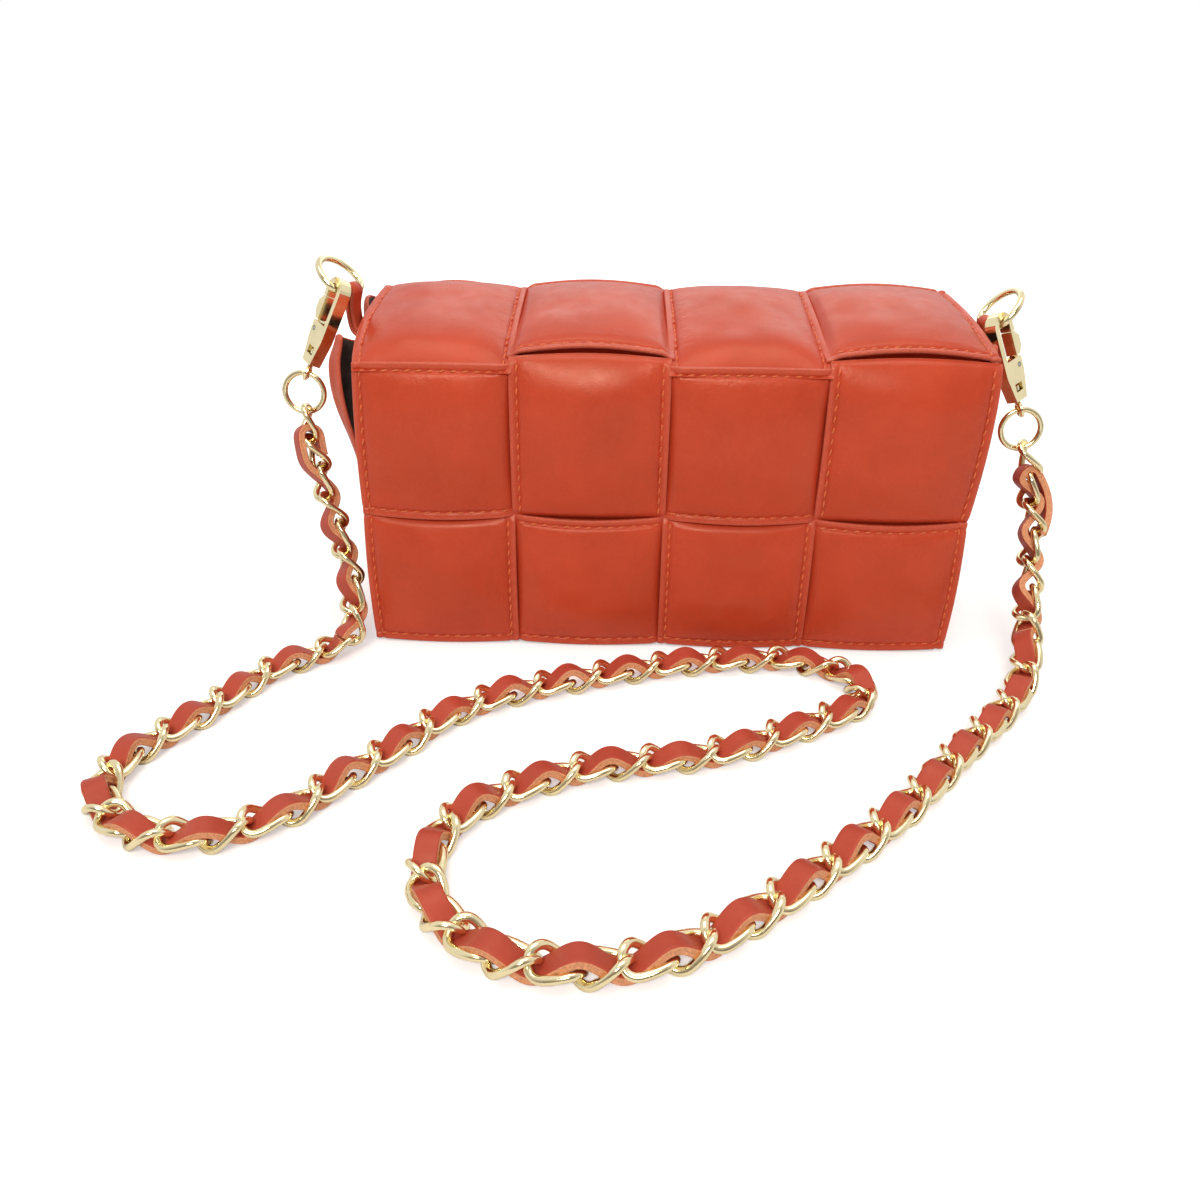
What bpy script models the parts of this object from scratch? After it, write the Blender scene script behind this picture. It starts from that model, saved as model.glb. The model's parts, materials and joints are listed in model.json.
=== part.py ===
"""Small shoulder bag of padded woven leather squares, with a flap and a chain strap.

Units are metres. X runs along the bag's width, the front faces -Y and +Z is up.
The origin lies on the ground, under the middle of the bag.
"""
import math
import bpy
import bmesh
from mathutils import Matrix, Vector

# Bag
BAG_WIDTH = 0.230
BAG_DEPTH = 0.072
FRONT_HEIGHT = 0.114
BACK_HEIGHT = 0.1305
GROUND_GAP = 0.0018
COLUMNS = 4
FRONT_ROWS = 2
BACK_ROWS = 2

# Padded squares: thickness at the sewn edge, and how much higher the middle swells
PAD_EDGE = 0.0035
FRONT_CROWN = 0.0045
TOP_CROWN = 0.0050
SIDE_EDGE = 0.0030
SIDE_CROWN = 0.0040
SIDE_PAD_DROP = 0.0052
BASE_PAD_THICKNESS = 0.0080
BASE_PAD_ROUNDING = 0.0022
CROWN_PLACE_SHARES = (0.0, 0.07, 0.22, 0.5, 0.78, 0.93, 1.0)
CROWN_HEIGHT_SHARES = (0.0, 0.45, 0.85, 1.0, 0.85, 0.45, 0.0)

# Leather, board and the clearance between touching pieces
WALL = 0.0020
LINING = 0.0015
GAP = 0.0003
WALL_TOP_GAP = 0.0012
BOARD_ROUNDING = 0.0004

# Magnetic snap
SNAP_RADIUS = 0.0085
SNAP_THICKNESS = 0.0013
SNAP_HEIGHT = 0.040
SNAP_ROUNDING = 0.0003

# Leather tabs that hold the D-rings
TAB_WIDTH = 0.0060
TAB_LEATHER = 0.0016
TAB_FOOT_DEPTH = 0.0036
TAB_FOOT_HEIGHT = 0.0045
TAB_PLACE = 0.0027
LEFT_BAR_REACH = 0.0066
LEFT_BAR_RISE = 0.0202
LEFT_BAR_YAW_DEG = 18.0
RIGHT_BAR_REACH = 0.0079
RIGHT_BAR_RISE = 0.0112
RIGHT_BAR_YAW_DEG = 7.0

# D-rings
D_WIRE = 0.0013
D_WIDTH = 0.0195
D_DEPTH = 0.0155
D_CORNER = 0.0050
LEFT_D_LEAN_DEG = 44.0
RIGHT_D_LEAN_DEG = 38.0

# Snap hooks: X across the jaw towards the gate, Y through the flat sides, Z along the hook
HOOK_LENGTH = 0.0345
HOOK_WIDTH = 0.0110
HOOK_THICKNESS = 0.0045
HOOK_WALL = 0.0023
SHANK_WIDTH = 0.0066
TAPER_END = 0.0105
JAW_BOTTOM = 0.0160
NOSE_LENGTH = 0.0085
JAW_SLACK = 0.0012
JAW_MEETS_DEG = 37.0
PIVOT_BELOW_JAW = 0.0030
PIN_RADIUS = 0.0007
GATE_ROOT_THICKNESS = 0.0022
GATE_ROOT_RADIUS = 0.0019
EAR_HEIGHT = 0.0030
EAR_CLEARANCE = 0.0006
THUMB_REACH = 0.0018
THUMB_START = 0.0030
THUMB_LENGTH = 0.0055
WINDOW_FLOOR = 0.0036
WINDOW_HEIGHT = 0.0032
WINDOW_WIDTH = 0.0042
LEFT_LEAN_OUT_DEG = 26.0
RIGHT_LEAN_OUT_DEG = 23.0
LEAN_FORWARD_DEG = 6.0

# Swivel eyes and round rings
STEM_RADIUS = 0.0010
HEAD_RADIUS = 0.0017
HEAD_THICKNESS = 0.0015
EYE_RADIUS = 0.0026
EYE_WIRE = 0.0009
O_RING_RADIUS = 0.0076
O_RING_WIRE = 0.0011
O_RING_HANG_SHARE = 0.45

# Counts of sides and steps
PIN_SIDES = 12
SNAP_SIDES = 24
EYE_SIDES = 24
O_RING_SIDES = 28
HOLE_SIDES = 16
CURVE_STEPS = 24

# Edges that turn more than this stay sharp, or are bevelled
PAD_SHARP_DEG = 50
METAL_SHARP_DEG = 30
BEVEL_SHARP_DEG = 40

# Chain strap, as the tube that the chain and its lace fill
STRAP_RADIUS = 0.0050
STRAP_STEP = 0.0137

RED = (0.565, 0.082, 0.040, 1.0)
EDGE_RED = (0.520, 0.105, 0.065, 1.0)
DARK = (0.020, 0.010, 0.008, 1.0)
GOLD = (0.860, 0.640, 0.300, 1.0)
STEEL = (0.560, 0.560, 0.550, 1.0)

HALF_WIDTH = BAG_WIDTH / 2
FRONT_FACE = -BAG_DEPTH / 2
BACK_FACE = BAG_DEPTH / 2
FRONT_PAD_BASE = FRONT_FACE + PAD_EDGE
BACK_PAD_BASE = BACK_FACE - PAD_EDGE
SIDE_WALL_OUTER = HALF_WIDTH - WALL
SIDE_PAD_BASE = SIDE_WALL_OUTER + GAP
FRONT_LINING_BACK = FRONT_PAD_BASE + GAP + LINING
FRONT_WALL_OUTER = FRONT_LINING_BACK + 2 * SNAP_THICKNESS + 3 * GAP
BACK_WALL_OUTER = BACK_PAD_BASE - GAP
WALL_FOOT = BASE_PAD_THICKNESS + GAP

# The flap's top slopes up from the front fold to the back
TOP_SLOPE = math.atan2(BACK_HEIGHT - FRONT_HEIGHT, BAG_DEPTH)


def top_height(y, depth=0.0):
    """Height of the flap's sloping top at y, at a depth measured square to it."""
    rise = (y - FRONT_FACE) * math.tan(TOP_SLOPE)
    return FRONT_HEIGHT + rise - depth / math.cos(TOP_SLOPE)


FOLD_HEIGHT = top_height(FRONT_FACE, PAD_EDGE) - GAP / 2
LIFT_HEIGHT = top_height(BACK_PAD_BASE, PAD_EDGE) - GAP / 2


def wall_top(y):
    return top_height(y, PAD_EDGE + GAP + LINING + WALL_TOP_GAP)


def side_pad_top(y):
    return wall_top(y) - SIDE_PAD_DROP


def clear_scene():
    for item in list(bpy.data.objects):
        bpy.data.objects.remove(item, do_unlink=True)


def material(name, colour, roughness, metallic=0.0):
    result = bpy.data.materials.new(name)
    result.use_nodes = True
    shader = result.node_tree.nodes["Principled BSDF"]
    shader.inputs["Base Color"].default_value = colour
    shader.inputs["Roughness"].default_value = roughness
    shader.inputs["Metallic"].default_value = metallic
    result.diffuse_color = colour
    return result


def link(name, data, look, pivot=None):
    """Add an object whose data are in world places, carried by a pivot if it moves."""
    item = bpy.data.objects.new(name, data)
    bpy.context.collection.objects.link(item)
    data.materials.append(look)
    if pivot:
        item.parent = pivot
        item.location = -world_place(pivot)
    return item


def world_place(item):
    place = item.location.copy()
    if item.parent:
        place += world_place(item.parent)
    return place


def pivot_at(name, place, parent=None):
    """Empty on a joint's axis."""
    item = bpy.data.objects.new(name, None)
    bpy.context.collection.objects.link(item)
    item.location = Vector(place)
    if parent:
        item.parent = parent
        item.location -= world_place(parent)
    return item


def mesh_from(name, verts, faces):
    data = bpy.data.meshes.new(name)
    data.from_pydata([tuple(v) for v in verts], [], faces)
    data.validate()
    return data


def add_bevel(item, width, segments=2):
    bevel = item.modifiers.new("rounding", "BEVEL")
    bevel.width = width
    bevel.segments = segments
    bevel.limit_method = "ANGLE"
    bevel.angle_limit = math.radians(BEVEL_SHARP_DEG)
    bevel.harden_normals = False


def prism(name, outline, depth, look, pivot=None, axis="Y", start=0.0):
    """Closed solid: an outline of two coordinates, extruded along the third."""
    count = len(outline)

    def place(pair, along):
        if axis == "X":
            return (along, pair[0], pair[1])
        if axis == "Y":
            return (pair[0], along, pair[1])
        return (pair[0], pair[1], along)

    verts = [place(p, start) for p in outline] + [place(p, start + depth) for p in outline]
    faces = [tuple(range(count)), tuple(range(2 * count - 1, count - 1, -1))]
    faces += [(i, i + count, (i + 1) % count + count, (i + 1) % count) for i in range(count)]
    data = mesh_from(name, verts, faces)
    shape = bmesh.new()
    shape.from_mesh(data)
    bmesh.ops.recalc_face_normals(shape, faces=shape.faces)
    shape.to_mesh(data)
    shape.free()
    return link(name, data, look, pivot)


def block(name, low, high, look, pivot=None):
    outline = [(low[0], low[2]), (high[0], low[2]), (high[0], high[2]), (low[0], high[2])]
    return prism(name, outline, high[1] - low[1], look, pivot, "Y", low[1])


def pad(name, corners, edge, crown, look, pivot=None):
    """Padded square on a flat base. The corners run anticlockwise, seen from outside."""
    a, b, c, d = (Vector(p) for p in corners)
    normal = (b - a).cross(d - a).normalized()
    steps = len(CROWN_PLACE_SHARES)
    verts = []
    for j, v in enumerate(CROWN_PLACE_SHARES):
        for i, u in enumerate(CROWN_PLACE_SHARES):
            base = a.lerp(b, u).lerp(d.lerp(c, u), v)
            swell = crown * CROWN_HEIGHT_SHARES[i] * CROWN_HEIGHT_SHARES[j]
            verts.append(base + normal * (edge + swell))
    last = steps - 1
    rim = [(i, 0) for i in range(last)] + [(last, j) for j in range(last)]
    rim += [(i, last) for i in range(last, 0, -1)] + [(0, j) for j in range(last, 0, -1)]
    top = [j * steps + i for i, j in rim]
    foot = [len(verts) + k for k in range(len(rim))]
    for i, j in rim:
        u = CROWN_PLACE_SHARES[i]
        v = CROWN_PLACE_SHARES[j]
        verts.append(a.lerp(b, u).lerp(d.lerp(c, u), v))
    faces = []
    for j in range(last):
        for i in range(last):
            k = j * steps + i
            faces.append((k, k + 1, k + steps + 1, k + steps))
    for k in range(len(rim)):
        n = (k + 1) % len(rim)
        faces.append((foot[k], foot[n], top[n], top[k]))
    faces.append(tuple(reversed(foot)))
    item = link(name, mesh_from(name, verts, faces), look, pivot)
    item.data.shade_smooth()
    item.data.set_sharp_from_angle(angle=math.radians(PAD_SHARP_DEG))
    return item


def tube(name, points, radius, look, pivot=None, closed=False, resolution=2):
    """Round wire or strap along points given in world places."""
    curve = bpy.data.curves.new(name, "CURVE")
    curve.dimensions = "3D"
    curve.bevel_depth = radius
    curve.bevel_resolution = resolution
    curve.use_fill_caps = not closed
    line = curve.splines.new("POLY")
    line.points.add(len(points) - 1)
    for point, place in zip(line.points, points):
        point.co = (*place, 1.0)
    line.use_cyclic_u = closed
    line.use_smooth = True
    return link(name, curve, look, pivot)


def cut(item, cutters, operation="DIFFERENCE"):
    """Apply Booleans in order and remove the cutters."""
    for cutter in cutters:
        step = item.modifiers.new("cut", "BOOLEAN")
        step.operation = operation
        step.solver = "EXACT"
        step.object = cutter
    bpy.context.view_layer.update()
    graph = bpy.context.evaluated_depsgraph_get()
    data = bpy.data.meshes.new_from_object(item.evaluated_get(graph))
    data.materials.clear()
    data.materials.append(item.data.materials[0])
    data.name = item.name
    item.modifiers.clear()
    item.data = data
    for cutter in cutters:
        bpy.data.objects.remove(cutter, do_unlink=True)


def arc(centre, radius, start_deg, end_deg, steps):
    """Points of an arc of two coordinates."""
    angles = [math.radians(start_deg + (end_deg - start_deg) * i / steps) for i in range(steps + 1)]
    return [(centre[0] + radius * math.cos(t), centre[1] + radius * math.sin(t)) for t in angles]


def circle(centre, radius, sides):
    """Points of a whole circle, without its first point again at the end."""
    return arc(centre, radius, 0, 360, sides)[:-1]


def rounded_cylinder(name, radius, low, high, look):
    """Upright cylinder round the local Z axis."""
    return prism(name, circle((0.0, 0.0), radius, PIN_SIDES), high - low, look, None, "Z", low)


# Flap


def column_edges(index):
    width = BAG_WIDTH / COLUMNS
    left = -HALF_WIDTH + index * width + (GAP / 2 if index else 0.0)
    right = -HALF_WIDTH + (index + 1) * width - (GAP / 2 if index < COLUMNS - 1 else 0.0)
    return left, right


def row_edges(low, high, rows, index):
    height = (high - low) / rows
    bottom = low + index * height + (GAP / 2 if index else 0.0)
    top = low + (index + 1) * height - (GAP / 2 if index < rows - 1 else 0.0)
    return bottom, top


def flap_top(look, dark, pivot):
    base_depth = PAD_EDGE
    shift = PAD_EDGE * math.sin(TOP_SLOPE)
    for index in range(COLUMNS):
        left, right = column_edges(index)
        front = FRONT_FACE + shift
        back = BACK_FACE + shift
        low = top_height(front, base_depth)
        high = top_height(back, base_depth)
        corners = ((left, front, low), (right, front, low), (right, back, high), (left, back, high))
        pad(f"top_pad_{index + 1}", corners, PAD_EDGE, TOP_CROWN, look, pivot)
    front = FRONT_PAD_BASE + GAP
    back = BACK_WALL_OUTER
    outer = PAD_EDGE + GAP
    inner = outer + LINING
    outline = [
        (front, top_height(front, inner)),
        (back, top_height(back, inner)),
        (back, top_height(back, outer)),
        (front, top_height(front, outer)),
    ]
    half = SIDE_WALL_OUTER
    prism("flap_top_lining", outline, 2 * half, dark, pivot, "X", -half)


def flap_front(look, dark, metal, pivot):
    top = FOLD_HEIGHT - GAP / 2
    for row in range(FRONT_ROWS):
        low, high = row_edges(GROUND_GAP, top, FRONT_ROWS, FRONT_ROWS - 1 - row)
        for index in range(COLUMNS):
            left, right = column_edges(index)
            y = FRONT_PAD_BASE
            corners = ((left, y, low), (right, y, low), (right, y, high), (left, y, high))
            pad(f"front_pad_{row + 1}_{index + 1}", corners, PAD_EDGE, FRONT_CROWN, look, pivot)
    lining_top = FOLD_HEIGHT - LINING - 2 * GAP
    half = SIDE_WALL_OUTER
    block(
        "flap_front_lining",
        (-half, FRONT_PAD_BASE + GAP, GROUND_GAP),
        (half, FRONT_LINING_BACK, lining_top),
        dark,
        pivot,
    )
    snap_disc("snap_stud", FRONT_LINING_BACK + GAP, metal, pivot)


def snap_disc(name, start, metal, pivot=None):
    ring = circle((0.0, SNAP_HEIGHT), SNAP_RADIUS, SNAP_SIDES)
    item = prism(name, ring, SNAP_THICKNESS, metal, pivot, "Y", start)
    add_bevel(item, SNAP_ROUNDING, 1)


# Body


def walls(dark):
    inner_x = SIDE_WALL_OUTER - WALL - GAP
    front = FRONT_WALL_OUTER
    back = BACK_WALL_OUTER
    items = [
        block("front_wall", (-inner_x, front, WALL_FOOT), (inner_x, front + WALL, wall_top(front)), dark),
        block("back_wall", (-inner_x, back - WALL, WALL_FOOT), (inner_x, back, wall_top(back - WALL)), dark),
        block(
            "base_board",
            (-inner_x, front + WALL + GAP, WALL_FOOT),
            (inner_x, back - WALL - GAP, WALL_FOOT + WALL),
            dark,
        ),
    ]
    outline = [
        (front, WALL_FOOT),
        (back, WALL_FOOT),
        (back, wall_top(back)),
        (front, wall_top(front)),
    ]
    items.append(prism("left_wall", outline, WALL, dark, None, "X", -SIDE_WALL_OUTER))
    items.append(prism("right_wall", outline, WALL, dark, None, "X", SIDE_WALL_OUTER - WALL))
    for item in items:
        add_bevel(item, BOARD_ROUNDING, 1)


def base_pads(look):
    half = SIDE_WALL_OUTER
    width = 2 * half / COLUMNS
    for index in range(COLUMNS):
        left = -half + index * width + (GAP / 2 if index else 0.0)
        right = -half + (index + 1) * width - (GAP / 2 if index < COLUMNS - 1 else 0.0)
        low = (left, FRONT_WALL_OUTER, 0.0)
        high = (right, BACK_WALL_OUTER, BASE_PAD_THICKNESS)
        item = block(f"base_pad_{index + 1}", low, high, look)
        add_bevel(item, BASE_PAD_ROUNDING, 2)


def back_pads(look):
    top = LIFT_HEIGHT - GAP / 2
    y = BACK_PAD_BASE
    for row in range(BACK_ROWS):
        low, high = row_edges(GROUND_GAP, top, BACK_ROWS, BACK_ROWS - 1 - row)
        for index in range(COLUMNS):
            left, right = column_edges(index)
            corners = ((right, y, low), (left, y, low), (left, y, high), (right, y, high))
            pad(f"back_pad_{row + 1}_{index + 1}", corners, PAD_EDGE, FRONT_CROWN, look)


def side_pads(look):
    front = FRONT_WALL_OUTER
    back = BACK_WALL_OUTER
    for side, word in ((-1, "left"), (1, "right")):
        x = side * SIDE_PAD_BASE
        middle = (GROUND_GAP + side_pad_top(0.0)) / 2
        lower = (GROUND_GAP, GROUND_GAP, middle - GAP / 2, middle - GAP / 2)
        upper = (middle + GAP / 2, middle + GAP / 2, side_pad_top(back), side_pad_top(front))
        for part, heights in (("lower", lower), ("upper", upper)):
            corners = [(x, y, z) for y, z in zip((front, back, back, front), heights)]
            if side < 0:
                corners.reverse()
            pad(f"{word}_pad_{part}", corners, SIDE_EDGE, SIDE_CROWN, look)


# Rings, hooks and tabs


def tab_foot():
    """Height of a tab's foot, which rests on the upper side pad."""
    return side_pad_top(TAB_PLACE + TAB_WIDTH / 2) + GAP


def bar_place(side):
    """Middle of a D-ring's straight bar."""
    reach = LEFT_BAR_REACH if side < 0 else RIGHT_BAR_REACH
    rise = LEFT_BAR_RISE if side < 0 else RIGHT_BAR_RISE
    return Vector((side * (HALF_WIDTH + reach), TAB_PLACE, tab_foot() + rise))


def bar_yaw(side):
    return math.radians(LEFT_BAR_YAW_DEG if side < 0 else RIGHT_BAR_YAW_DEG)


def ring_axes(side):
    """A D-ring's directions: along the bar to its front end, and out to the bow."""
    yaw = bar_yaw(side)
    lean = math.radians(LEFT_D_LEAN_DEG if side < 0 else RIGHT_D_LEAN_DEG)
    along = Vector((side * math.sin(yaw), -math.cos(yaw), 0))
    outward = Vector((side * math.cos(yaw), math.sin(yaw), 0))
    return along, outward * math.sin(lean) + Vector((0, 0, math.cos(lean)))


def tab(side, name, look):
    """Leather loop: its foot lies on the side wall, its top turns with the D-ring's bar."""
    bar = bar_place(side)
    loop = D_WIRE + GAP + TAB_LEATHER
    foot_in = SIDE_PAD_BASE
    foot_out = SIDE_PAD_BASE + TAB_FOOT_DEPTH
    foot = tab_foot()
    knee = foot + TAB_LEATHER
    rise = foot + TAB_FOOT_HEIGHT
    bar_x = abs(bar.x)
    outline = [(foot_out, foot), (foot_in, foot), (foot_in, knee), (bar_x - loop, rise)]
    outline += arc((bar_x, bar.z), loop, 180, 0, 12)
    outline += [(bar_x + loop, rise), (foot_out, knee)]
    outline = [(side * x, z) for x, z in outline]
    item = prism(name, outline, TAB_WIDTH, look, None, "Y", TAB_PLACE - TAB_WIDTH / 2)
    hole = circle((bar.x, bar.z), D_WIRE + GAP, HOLE_SIDES)
    overrun = TAB_WIDTH
    cutter = prism("tab_hole", hole, TAB_WIDTH + 2 * overrun, look, None, "Y", -overrun - TAB_WIDTH / 2)
    cut(item, [cutter])
    for vert in item.data.vertices:
        share = min(max((vert.co.z - knee) / (rise - knee), 0.0), 1.0)
        twist = Matrix.Rotation(side * bar_yaw(side) * share, 3, "Z")
        vert.co = bar + twist @ (vert.co - bar)


def d_ring(side, name, look, pivot):
    """D-ring: a straight bar through the tab, with the bow leaning up and out from it."""
    bar = bar_place(side)
    along, out = ring_axes(side)
    half = D_WIDTH / 2
    flat = half - D_CORNER
    outline = arc((-flat, D_CORNER), D_CORNER, 270, 180, 5)
    outline += arc((0.0, D_DEPTH - half), half, 180, 0, 12)
    outline += arc((flat, D_CORNER), D_CORNER, 360, 270, 5)
    points = [bar + along * p + out * r for p, r in outline]
    tube(name, points, D_WIRE, look, pivot, closed=True)


def hook_frame(side):
    """A snap hook's foot and its local axes, hung by its jaw from the D-ring's front corner."""
    along, out = ring_axes(side)
    phi = math.radians(JAW_MEETS_DEG)
    corner = bar_place(side) + along * (D_WIDTH / 2 - D_CORNER) + out * D_CORNER
    wire = corner + (along * math.sin(phi) - out * math.cos(phi)) * D_CORNER
    tangent = along * math.cos(phi) + out * math.sin(phi)
    lean_out = math.radians(LEFT_LEAN_OUT_DEG if side < 0 else RIGHT_LEAN_OUT_DEG)
    up = Vector((-side * math.tan(lean_out), math.tan(math.radians(LEAN_FORWARD_DEG)), 1)).normalized()
    flat = (tangent - up * tangent.dot(up)).normalized()
    across = flat.cross(up)
    if across.x * side < 0:
        across = -across
    through = up.cross(across)
    turn = Matrix((across, through, up)).transposed()
    wire_height = HOOK_LENGTH - HOOK_WALL - JAW_SLACK - D_WIRE
    return wire - up * wire_height, turn


def settle(item, origin, turn, pivot):
    """Turn a piece's own mesh from hook axes to its place on the bag."""
    item.data.transform(Matrix.Translation(origin) @ turn.to_4x4())
    item.parent = pivot
    item.location = -world_place(pivot)
    item.data.shade_smooth()
    item.data.set_sharp_from_angle(angle=math.radians(METAL_SHARP_DEG))


PIVOT_HEIGHT = JAW_BOTTOM - PIVOT_BELOW_JAW
NOSE_END = HOOK_LENGTH - NOSE_LENGTH
GATE_PIVOT_X = HOOK_WIDTH / 2 - GATE_ROOT_RADIUS - GAP


def hook_body(side, name, look, pivot):
    """Cast body: a tapered shank, a curled jaw, a fork for the gate and a window for the eye's head."""
    half = HOOK_WIDTH / 2
    top = HOOK_LENGTH - half
    shank = SHANK_WIDTH / 2
    outline = [(-shank, 0.0), (shank, 0.0), (half, TAPER_END)]
    outline += arc((0.0, top), half, 0, 180, 14)
    outline += [(-half, TAPER_END)]
    item = prism(name, outline, HOOK_THICKNESS, look, None, "Y", -HOOK_THICKNESS / 2)
    inner = half - HOOK_WALL
    overrun = HOOK_THICKNESS
    through = HOOK_THICKNESS + 2 * overrun
    start = -HOOK_THICKNESS / 2 - overrun
    jaw = [(-inner, JAW_BOTTOM), (inner, JAW_BOTTOM)] + arc((0.0, top), inner, 0, 180, 12)
    cutters = [prism("jaw", jaw, through, look, None, "Y", start)]
    ear_top = PIVOT_HEIGHT + EAR_HEIGHT
    gate_x = inner - GAP
    far = half + overrun
    mouth = [(gate_x, ear_top), (far, ear_top), (far, NOSE_END), (gate_x, NOSE_END)]
    cutters.append(prism("mouth", mouth, through, look, None, "Y", start))
    slot = GATE_ROOT_THICKNESS + 2 * GAP
    root_x = GATE_PIVOT_X - GATE_ROOT_RADIUS - GAP
    root_low = PIVOT_HEIGHT - GATE_ROOT_RADIUS - GAP
    fork = [(root_x, root_low), (far, root_low), (far, NOSE_END), (root_x, NOSE_END)]
    cutters.append(prism("fork", fork, slot, look, None, "Y", -slot / 2))
    pin = circle((GATE_PIVOT_X, PIVOT_HEIGHT), PIN_RADIUS + GAP, PIN_SIDES)
    cutters.append(prism("pin_hole", pin, through, look, None, "Y", start))
    side_x = WINDOW_WIDTH / 2
    window_top = WINDOW_FLOOR + WINDOW_HEIGHT
    window = [(-side_x, WINDOW_FLOOR), (side_x, WINDOW_FLOOR), (side_x, window_top), (-side_x, window_top)]
    cutters.append(prism("window", window, through, look, None, "Y", start))
    cutters.append(rounded_cylinder("bore", STEM_RADIUS + GAP, -overrun, WINDOW_FLOOR + GAP, look))
    cut(item, cutters)
    origin, turn = hook_frame(side)
    settle(item, origin, turn, pivot)


def gate(side, name, look, pivot):
    """Gate: a round root in the fork, a full-width bar up to the nose, and a thumb piece."""
    half = HOOK_WIDTH / 2
    x_in = half - HOOK_WALL
    low = PIVOT_HEIGHT + EAR_HEIGHT + EAR_CLEARANCE
    top = NOSE_END - GAP
    thumb_low = low + THUMB_START
    thumb_x = half + THUMB_REACH
    bar = [(x_in, low), (half, low), (thumb_x, thumb_low), (thumb_x, thumb_low + THUMB_LENGTH - THUMB_REACH)]
    bar += [(half, thumb_low + THUMB_LENGTH), (half, top), (x_in, top)]
    item = prism(name, bar, HOOK_THICKNESS, look, None, "Y", -HOOK_THICKNESS / 2)
    root = arc((GATE_PIVOT_X, PIVOT_HEIGHT), GATE_ROOT_RADIUS, 180, 360, 10)
    root += [(GATE_PIVOT_X + GATE_ROOT_RADIUS, low + GATE_ROOT_RADIUS)]
    root += [(x_in + GAP, low + GATE_ROOT_RADIUS), (x_in + GAP, low)]
    neck = prism("neck", root, GATE_ROOT_THICKNESS, look, None, "Y", -GATE_ROOT_THICKNESS / 2)
    cut(item, [neck], "UNION")
    hole = circle((GATE_PIVOT_X, PIVOT_HEIGHT), PIN_RADIUS + GAP, PIN_SIDES)
    overrun = HOOK_THICKNESS
    start = -HOOK_THICKNESS / 2 - overrun
    cut(item, [prism("hole", hole, HOOK_THICKNESS + 2 * overrun, look, None, "Y", start)])
    origin, turn = hook_frame(side)
    settle(item, origin, turn, pivot)


def gate_pin(side, name, look, pivot):
    ring = circle((GATE_PIVOT_X, PIVOT_HEIGHT), PIN_RADIUS, PIN_SIDES)
    item = prism(name, ring, HOOK_THICKNESS, look, None, "Y", -HOOK_THICKNESS / 2)
    origin, turn = hook_frame(side)
    settle(item, origin, turn, pivot)


EYE_HEIGHT = -(EYE_RADIUS + EYE_WIRE + GAP)


def eye_frame(side):
    """The hook's foot, and the turn of its swivel eye about the hook's own length."""
    origin, turn = hook_frame(side)
    up = turn.col[2]
    through = Vector((0, -1, 0))
    through = (through - up * through.dot(up)).normalized()
    across = through.cross(up)
    return origin, Matrix((across, through, up)).transposed()


def swivel_eye(side, name, look, pivot):
    """Stem through the shank, with a head in its window and a small eye below."""
    stem_low = EYE_HEIGHT + EYE_RADIUS - EYE_WIRE / 2
    stem_top = WINDOW_FLOOR + GAP + HEAD_THICKNESS
    item = rounded_cylinder(name, STEM_RADIUS, stem_low, stem_top, look)
    head = rounded_cylinder("head", HEAD_RADIUS, WINDOW_FLOOR + GAP, stem_top + GAP, look)
    cut(item, [head], "UNION")
    ring = circle((0, EYE_HEIGHT), EYE_RADIUS, EYE_SIDES)
    loop = tube("loop", [(0, y, z) for y, z in ring], EYE_WIRE, look, None, closed=True, resolution=1)
    bpy.context.view_layer.update()
    graph = bpy.context.evaluated_depsgraph_get()
    ring_data = bpy.data.meshes.new_from_object(loop.evaluated_get(graph))
    bpy.data.objects.remove(loop, do_unlink=True)
    cut(item, [link("loop_mesh", ring_data, look)], "UNION")
    origin, turn = eye_frame(side)
    settle(item, origin, turn, pivot)


def o_ring_frame(side):
    """The round ring's middle and its plane's two directions, hanging from the eye."""
    origin, turn = eye_frame(side)
    eye = origin + turn @ Vector((0, 0, EYE_HEIGHT))
    through = turn.col[1]
    down = -turn.col[2]
    fall = Vector((0, 0, -1))
    fall = (fall - through * fall.dot(through)).normalized()
    hang = down.lerp(fall, O_RING_HANG_SHARE).normalized()
    slack = EYE_RADIUS - EYE_WIRE - GAP - O_RING_WIRE
    return eye + hang * (slack + O_RING_RADIUS), hang, hang.cross(through)


def o_ring(side, name, look, pivot):
    centre, hang, level = o_ring_frame(side)
    ring = circle((0.0, 0.0), O_RING_RADIUS, O_RING_SIDES)
    points = [centre + level * x + hang * z for x, z in ring]
    tube(name, points, O_RING_WIRE, look, pivot, closed=True)


def clasp(side, word, gold, steel):
    """Everything that hangs from one tab."""
    swing = pivot_at(f"{word}_clasp_pivot", bar_place(side))
    d_ring(side, f"{word}_d_ring", gold, swing)
    hook_body(side, f"{word}_hook", gold, swing)
    gate_pin(side, f"{word}_gate_pin", steel, swing)
    origin, turn = hook_frame(side)
    gate_place = origin + turn @ Vector((GATE_PIVOT_X, 0, PIVOT_HEIGHT))
    gate(side, f"{word}_gate", gold, pivot_at(f"{word}_gate_pivot", gate_place, swing))
    eye_place = origin + turn @ Vector((0, 0, EYE_HEIGHT))
    swivel = pivot_at(f"{word}_swivel_pivot", eye_place, swing)
    swivel_eye(side, f"{word}_swivel_eye", gold, swivel)
    o_ring(side, f"{word}_o_ring", gold, swivel)


# Strap

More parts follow.
